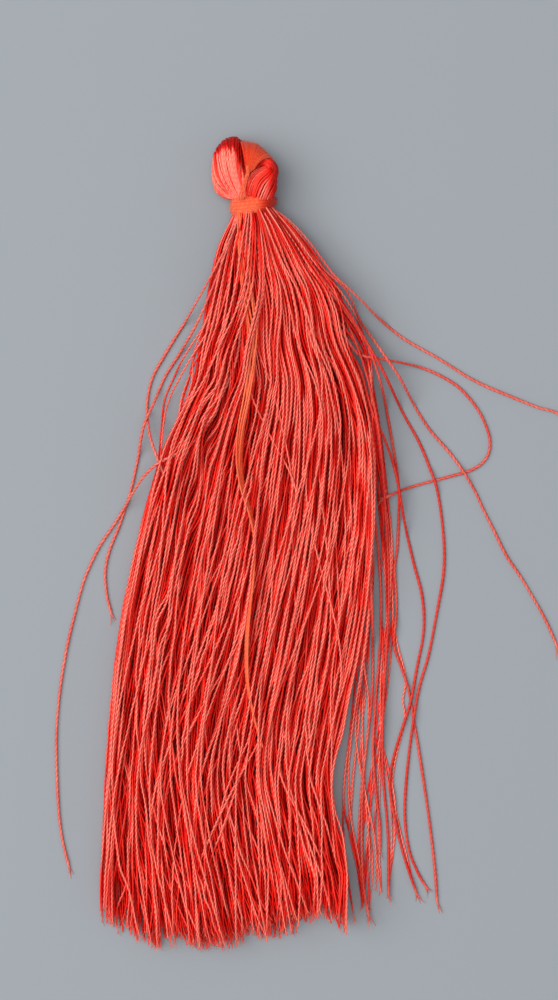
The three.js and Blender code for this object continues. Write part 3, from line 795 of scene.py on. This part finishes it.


# The silk runs from painted shade at its deepest colour to painted highlight at its palest, and its groove
# colour is painted shade.
SILK = thread_material(
    "silk", [(0.33, 0.0020, 0.0010), (0.80, 0.0035, 0.0018), (0.82, 0.044, 0.028), (0.89, 0.250, 0.184)],
    groove_shade=(0.80, 0.004, 0.002), pale=(0.93, 0.28, 0.20))
LOOSE_SILK = thread_material(
    "silk_loose", [(0.36, 0.0020, 0.0010), (0.52, 0.006, 0.003), (0.62, 0.048, 0.036), (0.74, 0.185, 0.145)],
    groove_shade=(0.42, 0.004, 0.002), pale=(0.85, 0.27, 0.20))
TIE = thread_material(
    "tie_yarn", [(0.43, 0.009, 0.0035), (0.65, 0.028, 0.008), (0.76, 0.095, 0.034), (0.82, 0.195, 0.090)],
    groove_shade=(0.67, 0.045, 0.012), pale=(0.97, 0.235, 0.11),
    roughness=0.85, specular=0.2, sheen=0.15, bump=0.6)


# ----- The stage

def link(name, data, place=(0, 0, 0)):
    made = bpy.data.objects.new(name, data)
    made.location = place
    bpy.context.scene.collection.objects.link(made)
    return made


def add_camera():
    data = bpy.data.cameras.new("camera")
    data.sensor_width = SENSOR
    data.lens = SENSOR * CAMERA_HEIGHT / FRAME_LONG
    data.clip_start = 10 * MM
    bpy.context.scene.camera = link("camera", data, (*CAMERA_AT, CAMERA_HEIGHT))


def add_floor():
    mesh = bpy.data.meshes.new("floor")
    side = FLOOR_HALF_SIDE
    corners = [(-side, -side, 0), (side, -side, 0), (side, side, 0), (-side, side, 0)]
    mesh.from_pydata(corners, [], [(0, 1, 2, 3)])
    paint = bpy.data.materials.new("floor")
    paint.use_nodes = True
    shader = paint.node_tree.nodes["Principled BSDF"]
    shader.inputs["Base Color"].default_value = FLOOR_COLOUR
    shader.inputs["Roughness"].default_value = 0.9
    shader.inputs["Specular IOR Level"].default_value = 0.2
    mesh.materials.append(paint)
    link("floor", mesh)


def add_lights():
    for name, lamp in LAMPS.items():
        data = bpy.data.lights.new(name, "AREA")
        data.shape = "DISK"
        data.size = lamp.size
        data.energy = LAMP_POWER
        data.color = lamp.tint
        x, y, z = lamp.place
        turned = (math.acos(z / math.hypot(x, y, z)), 0, math.atan2(y, x) + math.pi / 2)
        link(name, data, lamp.place).rotation_euler = turned
    world = bpy.data.worlds.new("world")
    world.use_nodes = True
    sky = world.node_tree.nodes["Background"]
    sky.inputs["Color"].default_value = SKY_COLOUR
    sky.inputs["Strength"].default_value = SKY_STRENGTH
    bpy.context.scene.world = world
    bpy.context.scene.view_settings.view_transform = "Standard"


# ----- The skirt

class HankForm:
    """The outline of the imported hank."""

    def __init__(self):
        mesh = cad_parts["hank"].data
        points = np.array([v.co for v in mesh.vertices])
        edges = np.array([edge.vertices[:] for edge in mesh.edges])
        self.a = points[edges[:, 0]]
        self.b = points[edges[:, 1]]
        self.lowest = points[:, 1].min()
        self.levels = np.arange(EDGE_LOW, NECK_Y, MM)
        spans = np.array([self.crossing(1, level, 0) for level in self.levels])
        self.lefts, self.rights = spans[:, 0], spans[:, 1]
        first, last = points[:, 0].min() + COLUMN_MARGIN, points[:, 0].max() - COLUMN_MARGIN
        self.columns = np.arange(first, last, COLUMN_STEP)
        self.ends = np.array([self.crossing(0, column, 1)[0] for column in self.columns])

    def crossing(self, fixed, level, measured):
        """The least and greatest of one coordinate where another has a given value."""
        before = self.a[:, fixed] - level
        after = self.b[:, fixed] - level
        cut = before * after < 0
        share = before[cut] / (before[cut] - after[cut])
        values = self.a[cut, measured] + share * (self.b[cut, measured] - self.a[cut, measured])
        return values.min(), values.max()

    def middle_and_half(self, y):
        """The middle of the skirt and half its width at a height, for threads to lie within."""
        levels, left, right = (np.array(EDGES) * MM).T
        low = np.interp(y, self.levels, self.lefts) - np.interp(y, levels, left)
        high = np.interp(y, self.levels, self.rights) + np.interp(y, levels, right)
        return (low + high) / 2, (high - low) / 2 - SKIRT_RADIUS

    def share_at(self, x, y):
        """A place across the skirt, from -1 at its left edge to 1 at its right."""
        middle, half = self.middle_and_half(y)
        return (x - middle) / half

    def end(self, x):
        return np.interp(x, self.columns, self.ends)


class Lock:
    """A few threads that run down the skirt together, some of them across it at a slant."""

    def __init__(self, rng, count, looseness, share, to_share, from_y, to_y):
        self.count = count
        self.looseness = looseness
        self.share = share
        self.to_share = to_share
        self.from_y = from_y
        self.to_y = to_y
        self.down = np.linspace(0, 1, 160)
        self.line = slow_waves(rng, self.down, LOCK_WAVES)
        self.turns = rng.uniform(0.5, 1.6) * rng.choice([-1, 1])
        self.start = rng.uniform(0, 2 * math.pi)
        self.end_lift = rng.normal(0, LOCK_ENDS) * MM
        self.splay = SPLAY * looseness * rng.normal(0.05 + 0.65 * (1 - share**2), 0.45)
        self.splay_from = rng.uniform(*SPLAY_FROM) * MM
        self.standing = None
        self.route = None
        self.beside = 0.0

    def share_along(self, y):
        return self.to_share + (self.share - self.to_share) * smooth_step(self.to_y, self.from_y, y)

    def sideways(self, down, member):
        """How far one of the lock's threads lies from the lock's own place."""
        beside = (member - (self.count - 1) / 2) * LOCK_SPACING
        turning = LOCK_SWIRL * (self.count > 1)
        swirl = turning * np.sin(2 * math.pi * self.turns * down + self.start + 2.5 * member)
        return beside + swirl + self.looseness * np.interp(down, self.down, self.line)


def locks_of(layer, rng):
    """A layer's locks, side by side across the skirt."""
    locks = []
    spacing = 2 / layer.locks
    for number in range(layer.locks):
        uneven = rng.uniform(-0.4, 0.4) * layer.looseness
        share = np.clip(spacing * (number + 0.5 + uneven) - 1, -EDGE_SHARE, EDGE_SHARE)
        turn = np.clip(rng.normal(-0.3, 0.95), -1.8, 1.4)
        to_share = np.clip(share + layer.drift * turn, -EDGE_SHARE, EDGE_SHARE)
        from_y = rng.uniform(-20, 40) * MM
        to_y = from_y - rng.uniform(25, 70) * MM
        count = int(rng.integers(layer.fewest, layer.most + 1))
        locks.append(Lock(rng, count, layer.looseness, share, to_share, from_y, to_y))
    return locks


def straight_lock(rng, looseness, share):
    """A lock of one thread that keeps its place across the skirt."""
    return Lock(rng, 1, looseness, share, share, 0, -30 * MM)


def crossing_locks(form, rng):
    locks = []
    for x, y, to_x, to_y, threads in CROSSINGS:
        share = form.share_at(x * MM, y * MM)
        to_share = form.share_at(to_x * MM, to_y * MM)
        for _ in range(threads):
            near = rng.normal(0, CROSSING_SPREAD, 2)
            later = rng.normal(0, CROSSING_LATER, 2) * MM
            places = (share + near[0], to_share + near[1], y * MM + later[0], to_y * MM + later[1])
            locks.append(Lock(rng, 1, LOOSE, *places))
    return locks


def outer_locks(rng):
    """Threads that come away from the skirt's right edge."""
    locks = []
    for threads, route in OUTER_THREADS:
        for member in range(threads):
            lock = straight_lock(rng, LOOSE, rng.uniform(*OUTER_SHARES))
            lock.route = np.array(route) * MM
            lock.beside = (member - (threads - 1) / 2) * LOCK_SPACING
            locks.append(lock)
    return locks


def left_locks(rng):
    """Threads that stand off the left edge of the fan and come back to it."""
    locks = []
    for standing in LEFT_STANDING:
        lock = straight_lock(rng, LOOSE / 2, rng.uniform(*LEFT_SHARES))
        lock.standing = standing
        locks.append(lock)
    return locks


def parted(x, y, looseness):
    """The threads' places, moved aside where the upper layers part."""
    for at_x, at_y, reach, opening in PARTINGS:
        away = x - at_x * MM
        near = np.exp(-0.5 * ((y - at_y * MM) / (reach * MM)) ** 2 - np.abs(away) / PARTING_REACH)
        x = x + min(1, looseness) * opening * MM * np.tanh(away / PARTING_EDGE) * near
    return x


def on_route(lock, rng, x, y, down):
    """The places of a thread that leaves its own for a route, and where it ends."""
    guide = curve_through(lock.route, LAY_STEP)[::-1]
    away = smooth_step(lock.route[0][1] + ROUTE_JOINED, lock.route[0][1], y)
    turned = lock.beside * np.cos(down * 14 + lock.start) + 0.25 * MM * np.sin(down * 23 + lock.start)
    x = x * (1 - away) + (np.interp(y, guide[:, 1], guide[:, 0]) + turned) * away
    return x, lock.route[-1][1] + rng.normal(0, 0.8) * MM


def skirt_plan(form, rng, lock, member, seat_x):
    """One thread's plan from the neck to its cut end."""
    y = np.arange(NECK_Y, form.lowest, -LAY_STEP)
    middle, half = form.middle_and_half(y)
    down = (NECK_Y - y) / (NECK_Y - form.lowest)
    fanned = smooth_step(0.0, FANNED, down)
    own = slow_waves(rng, down, THREAD_WAVES)
    crimp = rng.gamma(1.6, 0.035) * MM * np.sin(2 * math.pi * y / (rng.uniform(4, 9) * MM) + phase(rng))
    wander = lock.sideways(down, member) + min(1, 1.3 * lock.looseness) * (own + crimp)
    body = lock.share_along(y) + wander * smooth_step(*WANDERING, down) / half
    splayed = np.maximum(0, lock.splay_from - y) ** 1.5 / SPLAY_LENGTH**0.5
    body = body + (lock.splay + 0.15 * SPLAY * lock.looseness * rng.normal()) * splayed / half
    over = np.maximum(0, np.abs(body) - EDGE_SOFT) / (1 - EDGE_SOFT)
    body = np.where(over > 0, np.sign(body) * (EDGE_SOFT + (1 - EDGE_SOFT) * np.tanh(over)), body)
    x = middle + (seat_x * (1 - fanned) + body * fanned) * half
    x = parted(x, y, lock.looseness)
    if lock.standing:
        at_y, reach, out = lock.standing
        x = x - out * MM * np.exp(-(((y / MM - at_y) / reach) ** 2))
    end = form.end(x[-1]) + lock.end_lift + rng.gamma(1.6, 0.6) * MM
    if lock.route is not None:
        x, end = on_route(lock, rng, x, y, down)
    return np.column_stack([blurred(x, SOFTENED), y])[y >= end]


def neck_seats(count, rng):
    """Where threads pass through the round neck, lowest first: x and z from its middle, in radii."""
    number = np.arange(count)
    away = np.sqrt((number + 0.5) / count)
    angle = number * math.pi * (3 - math.sqrt(5))
    seats = np.column_stack([away * np.cos(angle), away * np.sin(angle)])
    return seats[np.argsort(seats[:, 1] + rng.normal(0, 0.05, count))]


SkirtThread = namedtuple("SkirtThread", "line layer tone")


def lay_locks(pile, form, rng, locks, layer, seats):
    """Lays the threads of some locks in a random order, and returns them."""
    members = [(lock, member) for lock in locks for member in range(lock.count)]
    members.sort(key=lambda pair: pair[0].share + 0.01 * pair[1])
    chords = np.sqrt(1 - seats[:, 1] ** 2)
    seats = seats[np.argsort(seats[:, 0] / chords)]
    laid = []
    for index in rng.permutation(len(members)):
        lock, member = members[index]
        across, up = seats[index]
        plan = skirt_plan(form, rng, lock, member, 0.94 * across)
        height = NECK_Z + NECK_BUNDLE * up + rng.normal(0, 0.22) * MM
        tone = rng.uniform(*layer.tone)
        laid.append(SkirtThread(lay(pile, plan, layer.radius, height), layer, tone))
    return laid


def seen(pile, line, radius):
    """Which points of a thread show from above, or are next to one that does."""
    shown = np.zeros(len(line), bool)
    for side in (-0.8, 0, 0.8):
        plan = line[:, :2] + np.array([side, 0]) * radius[:, None]
        cells = pile.cells(plan)
        over = pile.top[cells[:, 0], cells[:, 1]] - (line[:, 2] + radius * math.sqrt(1 - side * side))
        shown |= over < 0.15 * radius
    return np.convolve(shown, np.ones(3), "same") > 0


def openness(pile):
    """How much of the sky each place on the pile sees, as if the pile were level but for its threads."""
    level = pile.top
    for axis in (0, 1):
        level = np.apply_along_axis(blurred, axis, level, LEVEL_WIDTH / pile.cell)
    relief = pile.top - level
    total = np.zeros(relief.shape)
    for number in range(OPEN_DIRECTIONS):
        angle = 2 * math.pi * number / OPEN_DIRECTIONS
        steepest = np.zeros(relief.shape)
        for distance in OPEN_DISTANCES:
            steps = [round(distance * part / pile.cell) for part in (math.cos(angle), math.sin(angle))]
            rise = np.roll(relief, steps, axis=(0, 1)) - relief
            np.maximum(steepest, rise / distance, out=steepest)
        total += 1 - steepest / np.sqrt(1 + steepest**2)
    return total / OPEN_DIRECTIONS


def add_skirt_thread(threads, pile, sky, thread, rng):
    """A thread of the skirt. Where it is hidden it has fewer rings and no twist."""
    step = PITCH * rng.uniform(0.85, 1.2) / SKIRT_SIDES
    line = evenly(thread.line, step)
    count = len(line)
    y = line[:, 1]
    full = NECK_RADIUS + (thread.layer.radius - NECK_RADIUS) * smooth_step(NECK_Y, SKIRT_FULL, y)
    radius = full * rng.uniform(0.88, 1.08)
    shown = seen(pile, line, radius)
    shown[-round(SHOWN_END / step):] = True
    keep = shown | (np.arange(count) % (2 * SKIRT_SIDES) == 0)
    keep[0] = keep[-1] = True
    twist = np.clip(blurred(shown.astype(float), 2.0), 0, 1)
    cells = pile.cells(line[:, :2])
    open_share = blurred(sky[cells[:, 0], cells[:, 1]], 2)
    # painted shade where the pile is deep, painted highlight where it is open
    tone = TONE_SHARE * (thread.tone - 0.5) + PAINTED_LIGHT_RISE * (open_share - OPEN_DEEP) / (OPEN_FULL - OPEN_DEEP)
    tone = np.maximum(tone - TIP_DARKER * smooth_step(*TIPS, y), TIP_DARKEST)
    # painted shade in the neck and the fan below the winding, left off pale threads
    tone = tone - NECK_PAINTED_SHADE * smooth_step(*FLARE, y) * (thread.tone < PALE_FROM)
    to_end = lengths_along(line)[-1] - lengths_along(line)
    pale = 0.2 * np.clip(1 - to_end / PALE_END, 0, 1) ** 2
    radius = radius * (0.5 + 0.5 * np.clip(to_end / THIN_END, 0, 1) ** 0.7)
    start = int(rng.integers(SKIRT_SIDES))
    threads.add(line, radius, tone, SKIRT_SIDES, start, twist, keep, SKIRT_NOTCH, pale)
    add_fray(threads, line, 0.8 * SKIRT_RADIUS, thread.tone, rng, plies=2, length=SKIRT_FRAY)


def build_skirt(pile, laid, rng):
    """The meshes of the skirt's threads. A piece is closed once it passes a limit of size."""
    number = 1
    threads = Threads()
    sky = openness(pile)
    for thread in laid:
        add_skirt_thread(threads, pile, sky, thread, rng)
        if threads.triangle_count() > PIECE_TRIANGLES or thread is laid[-1]:
            threads.build(f"skirt_layer_{number}", SILK, "silk_thread", "hank")
            number += 1
            threads = Threads()


# ----- The loose threads

def coil_line():
    """The turns of the coil, from where the thread reaches it."""
    points = []
    rope = STRAY_DIAMETER / 2
    for k in range(round(COIL_TURNS * TURN_POINTS) + 1):
        turn = k / TURN_POINTS
        angle = COIL_ENTRY + 2 * math.pi * turn
        outwards = 1 - 2 * smooth_step(*MOVES_IN, turn) + smooth_step(*MOVES_OUT, turn)
        radius = COIL_RADIUS + rope * outwards
        height = rope * (1 + 1.75 * smooth_step(*MOVES_UP, turn))
        x, y = COIL_MIDDLE
        points.append((x + radius * math.cos(angle), y + radius * math.sin(angle), height))
    return np.array(points)


def stray_line(pile, name, from_neck):
    """A loose thread's line, laid over the skirt and beside it."""
    lead = LEADS[name]
    if from_neck:
        lead = [(lead[0][0], NECK_Y)] + lead
    plan = curve_through(lead + ROUTES[name] + RUN_ON.get(name, []), LAY_STEP)
    line = lay(pile, plan, STRAY_RADIUS, NECK_Z + bundle_rise(lead[0][0]))
    if name.startswith("loose_lock"):
        line[:, 2] -= LOCK_SUNK * smooth_step(LOCK_RISEN, 0, lengths_along(line))
        line[:, 2] = np.maximum(line[:, 2], STRAY_RADIUS)
    if name == COILED:
        line = curve_through(np.vstack([line[:1], line[-6::-10][::-1], coil_line()]), LAY_STEP)
    return evenly(line, PITCH / SIDES)


def add_stray(pile, name, rng):
    """One loose thread from inside the neck or the skirt to its end."""
    from_neck = LEADS[name][0][1] > FROM_NECK
    line = stray_line(pile, name, from_neck)
    along = lengths_along(line)
    to_end = along[-1] - along
    grown = smooth_step(FROM_NECK, STRAY_FULL, line[:, 1]) if from_neck else smooth_step(0, LOCK_FULL, along)
    radius = NECK_RADIUS * 1.1 + (STRAY_RADIUS - NECK_RADIUS * 1.1) * grown
    radius = radius * (1 + UNEVEN * np.sin(along / (2.9 * MM) + phase(rng)))
    radius = radius * (0.6 + 0.4 * np.clip(to_end / (0.9 * MM), 0, 1))
    threads = Threads()
    tone = rng.uniform(0.75, 1.0) if "left" in name else rng.uniform(0.3, 0.85)
    threads.add(line, radius, tone, pale=0.5 * np.clip(1 - to_end / (2.5 * MM), 0, 1) ** 2)
    if name not in RUN_ON:
        add_fray(threads, line, STRAY_RADIUS, tone, rng, plies=4, length=STRAY_FRAY)
    nodes = [name, "stray_right_coil"] if name == COILED else [name]
    piece = threads.build(name + "_thread", LOOSE_SILK, "silk_thread", *nodes)


def build_tail(pile):
    """The tie's loose end: fine yarns side by side, spread at the neck and crossing now and then."""
    base = curve_through([(TAIL_ROUTE[0][0], NECK_Y)] + TAIL_ROUTE, LAY_STEP)
    along = lengths_along(base)
    spread = TAIL_SPREAD[0] + TAIL_SPREAD[1] * smooth_step(*TAIL_SPREADS, along)
    threads = Threads()
    for number in range(TAIL_YARNS):
        wave = (TAIL_WAVE + TAIL_WAVE_MORE * number) * MM
        apart = spread * np.cos(along / wave + 2 * math.pi / TAIL_YARNS * number + 0.6)
        plan = base + np.column_stack([apart, np.zeros(len(base))])
        line = lay(pile, plan, TAIL_RADIUS, NECK_Z + bundle_rise(base[0, 0]))
        even = evenly(line, TAIL_STEP)
        full = 0.85 + 0.15 * smooth_step(*TAIL_FULL, even[:, 1])
        upper = smooth_step(*TAIL_UPPER, even[:, 1])
        tone = 0.20 + 0.10 * number + 0.20 * upper
        threads.add(even, TAIL_RADIUS * full, tone, notch=TAIL_NOTCH, pale=0.25 * upper)
    piece = threads.build("tie_loose_end", TIE, "tie_yarn", "tie_tail")


# ----- The tie and the head

def loop_line(loop, shrink):
    """A thread's loop: up from the neck in front, over its tip and back underneath."""
    neck_x, tip_x, tip_y, bow, front, back = loop * MM
    turn = np.linspace(0, math.pi, 48)
    reach = np.sin(turn)
    side = np.cos(turn)
    neck = np.array([neck_x, LOOP_START])
    ahead = np.array([tip_x, tip_y]) - neck
    across = unit(np.array([-ahead[1], ahead[0]]))
    plan = neck + (1 - shrink) * reach[:, None] * ahead + (bow * np.sin(math.pi * reach))[:, None] * across
    thick = (front - back) / 2 * (1 - shrink)
    loop_height = (front + back) / 2 + np.sign(side) * np.abs(side) ** 0.75 * thick
    rise = bundle_rise(neck_x) * (1 - shrink)
    height = loop_height + (NECK_Z + 0.9 * rise * side - loop_height) * (1 - smooth_step(0.0, 0.55, reach))
    return np.column_stack([plan, height])


def add_loops(threads, loops, count, shrink, tones, rng):
    """Threads side by side through a row of loops, with painted shade near the crown."""
    for k in range(count):
        share = np.clip((k + 0.5) / count + rng.normal(0, 0.15 / count), 0, 1)
        loop = spline_at(loops, [share * (len(loops) - 1)])[0]
        line = evenly(loop_line(loop, shrink), PITCH / SIDES)
        along = lengths_along(line)
        drift = 0.10 * MM * np.sin(along / (rng.uniform(2.0, 5.0) * MM) + phase(rng))
        line = line + drift[:, None] * np.array([1.0, 0.2, 0.5])
        line[:, 2] = np.maximum(line[:, 2], LOBE_RADIUS)
        x, y, z = line.T
        radius = LOOP_THIN + (LOBE_RADIUS - LOOP_THIN) * smooth_step(LOOP_START, LOOP_FULL, y)
        painted_shade_y = PAINTED_SHADE_CROWN - PAINTED_SHADE_SLOPE * np.maximum(0, x + 0.4 * MM) + rng.normal(0, 0.5) * MM
        tone = rng.uniform(*tones)
        # painted shade over the top of the head
        tone = tone - (tone + 0.5) * smooth_step(painted_shade_y - 0.5 * MM, painted_shade_y + 0.7 * MM, y)
        keep = (z > NECK_Z - 1.5 * MM) | (np.arange(len(line)) % 3 == 0)
        keep[0] = keep[-1] = True
        start = int(rng.integers(SIDES))
        threads.add(line, radius, tone, start=start, keep=keep, notch=LOOP_NOTCH, twist=HEAD_TWIST)


def build_left_lobe(rng):
    threads = Threads()
    # the inner layer's low tones are painted shade in the gaps between the outer threads
    add_loops(threads, LEFT_LOBE, 26, 0.09, (0.2, 0.6), rng)
    add_loops(threads, LEFT_LOBE, 38, 0.0, (0.45, 1.5), rng)
    threads.build("head_left_lobe", SILK, "silk_thread", "hank")


def build_crown(rng):
    threads = Threads()
    # low tones: painted shade on the loops that turn over the top and down behind
    add_loops(threads, CROWN, 22, 0.0, (0.0, 0.4), rng)
    threads.build("head_crown", SILK, "silk_thread", "hank")


def build_right_lobe(rng):
    """The threads of a hooked bundle, side by side round its surface and round a core inside it."""
    rows = curve_through(np.array(HOOK) * MM, LAY_STEP)
    first, second = turning_frames(rows[:, :3])
    threads = Threads()
    along = np.linspace(0, 1, len(rows))
    for k in range(RIGHT_LOBE_THREADS + RIGHT_LOBE_CORE):
        core = k >= RIGHT_LOBE_THREADS
        place = (k - RIGHT_LOBE_THREADS) / RIGHT_LOBE_CORE if core else k / RIGHT_LOBE_THREADS
        angle = 2 * math.pi * (place + rng.uniform(-0.004, 0.004)) + along + 0.08 * np.sin(7 * along + k)
        reach = (rows[:, 3] - LOBE_RADIUS) * (CORE_SHARE if core else 1) + rng.uniform(-0.10, 0.05) * MM
        across, up = (reach * np.cos(angle))[:, None], (reach * np.sin(angle))[:, None]
        line = rows[:, :3] + across * first + up * second
        line = evenly(line, PITCH / SIDES)
        line[:, 2] = np.maximum(line[:, 2], LOBE_RADIUS)
        radius = LOBE_RADIUS * (0.8 + 0.2 * smooth_step(LOOP_START, HOOK_FULL, line[:, 1]))
        # painted shade: low tones in the core, darker towards the flank and in the hollow
        tone = rng.uniform(0.0, 0.4) if core else rng.uniform(0.35, 1.1)
        tone = tone - 1.4 * smooth_step(*PAINTED_SHADE_FLANK, line[:, 0])
        hollow_shade = smooth_step(*PAINTED_SHADE_HOLLOW, np.linspace(0, 1, len(line)))
        tone = tone * (1 - hollow_shade) + rng.uniform(-0.4, 0.0) * hollow_shade
        threads.add(line, radius, tone, start=int(rng.integers(SIDES)), notch=YARN_NOTCH, twist=HEAD_TWIST)
    threads.build("head_right_lobe", SILK, "silk_thread", "hank")


def add_fuzz(threads, line, tone, middle, count, rng):
    """Fine fibres that stand off a yarn, away from the middle of its winding."""
    tone = np.broadcast_to(tone, len(line))
    for index in rng.integers(len(line), size=count):
        root = line[index]
        out = unit(unit(root - middle) + rng.normal(0, 0.55, 3))
        curl = rng.normal(0, 1, 3)
        share = np.linspace(0, 1, 4)[:, None]
        reach = rng.uniform(*FIBRE_LENGTHS) * MM
        path = root + reach * (share * out + 0.35 * share**2 * curl)
        path[:, 2] = np.maximum(path[:, 2], 0.05 * MM)
        threads.add(path, FIBRE_RADIUS * (1 - 0.6 * share[:, 0]), tone[index], sides=3, twist=0)


def build_tie(rng):
    """The tie over the crown, in an inner and an outer layer, and the strands that run on to the neck."""
    threads = Threads()
    guides = np.array(TIE_GUIDES) * MM
    middle = np.array(TIE_MIDDLE)
    for count, shrink in TIE_LAYERS:
        for k in range(count):
            share = np.clip((k + 0.5) / count + rng.normal(0, 0.25 / count), 0, 1)
            points = spline_at(guides, [share * (len(guides) - 1)])[0]
            line = curve_through(points + shrink * (middle - points), TIE_STEP)
            line[:, 2] = np.maximum(line[:, 2], TIE_RADIUS)
            radius = TIE_RADIUS * (0.6 + 0.4 * smooth_step(*TIE_FULL, line[:, 1]))
            # darker towards the left strands: painted shade of the crease beside the left lobe
            tone = rng.uniform(0.1, 0.75) - 0.35 * (1 - share)
            threads.add(line, radius, tone, notch=YARN_NOTCH, start=int(rng.integers(SIDES)))
            add_fuzz(threads, line, FUZZ_TONE, middle, 14, rng)
    for side in (-1, 0, 1):
        points = np.array(TIE_POINT) * MM
        spread = np.linspace(0.2, 1.0, len(points))[:, None]
        points = points + spread * np.array([0.36 * side, 0.05 * side, -0.10 * abs(side)]) * MM
        line = curve_through(points, TIE_STEP)
        threads.add(line, POINT_RADIUS, 0.7, notch=YARN_NOTCH)
        add_fuzz(threads, line, FUZZ_TONE, middle, 6, rng)
    threads.build("tie_over_crown", TIE, "tie_yarn", "top_tie")


def build_wrap(rng):
    """The yarn wound round the neck, to and fro across the band's width."""
    low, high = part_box("neck_wrap")
    centre_x = (low.x + high.x) / 2
    outer = (high.x - low.x) / 2 - WRAP_YARN
    turn = np.arange(WRAP_TURNS * WRAP_POINTS + 1) / WRAP_POINTS
    angle = 2 * math.pi * turn - math.pi / 2
    right = (np.cos(angle) + 1) / 2
    width = WRAP_LEFT_WIDTH + (WRAP_RIGHT_WIDTH - WRAP_LEFT_WIDTH) * right**2 - 2 * WRAP_YARN
    place = np.abs((turn / WRAP_TURNS * WRAP_LAYERS + 1) % 2 - 1)
    uneven = 0.05 * MM * np.sin(turn * 2.3) * np.sin(angle * 0.5 + turn)
    under = WRAP_THICK * (1 - turn / WRAP_TURNS)
    radius = outer - under - WRAP_ROUNDED * np.abs(2 * place - 1) ** 2.6 + uneven
    x = radius * np.cos(angle)
    z = np.maximum(WRAP_YARN, NECK_Z + radius * np.sin(angle))
    y = WRAP_Y + WRAP_SLOPE * x + width * (place - 0.5) - WRAP_LEAN * (z - NECK_Z)
    line = evenly(np.column_stack([centre_x + x, y, z]), WRAP_STEP)
    threads = Threads()
    tone = 0.75 + 0.15 * np.sin(np.arange(len(line)) / 37.0)
    # darker towards the band's right end: painted shade on the side away from the key lamp
    tone = tone - 1.3 * smooth_step(0.1 * outer, 0.8 * outer, line[:, 0] - centre_x)
    threads.add(line, WRAP_YARN, tone, notch=WRAP_NOTCH)
    add_fuzz(threads, line, tone, np.array([centre_x, WRAP_MIDDLE_Y, NECK_Z]), 600, rng)
    threads.build("neck_winding", TIE, "tie_yarn", "neck_wrap")


# ----- All of it

def lay_all(pile, form, rng):
    """Lays all threads in turn, with the loose ones and the tie's end before the last of the top layer."""
    batches = [(layer, locks_of(layer, rng)) for layer in UNDER_LAYERS]
    batches.append((TOP_LAYER, outer_locks(rng) + left_locks(rng)))
    crossing = crossing_locks(form, rng)
    top_locks = locks_of(TOP_LAYER, rng)
    rng.shuffle(top_locks)
    batches.append((TOP_LAYER, top_locks[OVER_TAIL:] + crossing))
    batches.append((TOP_LAYER, top_locks[:OVER_TAIL]))
    sizes = [sum(lock.count for lock in locks) for _, locks in batches]
    seats = neck_seats(sum(sizes), rng)
    laid = []
    for number, ((layer, locks), size) in enumerate(zip(batches, sizes)):
        if number == len(batches) - 2:
            for name in ROUTES:
                add_stray(pile, name, rng)
        if number == len(batches) - 1:
            build_tail(pile)
        laid += lay_locks(pile, form, rng, locks, layer, seats[:size])
        seats = seats[size:]
    for thread in laid:
        pile.stamp(thread.line[thread.line[:, 1] > STAMPED_FROM], SKIRT_RADIUS)
    return laid


def main():
    rng = np.random.default_rng(SEED)
    add_camera()
    add_floor()
    add_lights()
    pile = Pile(PILE_LOW, PILE_HIGH, PILE_CELL)
    laid = lay_all(pile, HankForm(), rng)
    build_skirt(pile, laid, rng)
    for build in (build_left_lobe, build_crown, build_right_lobe, build_tie, build_wrap):
        build(rng)


main()
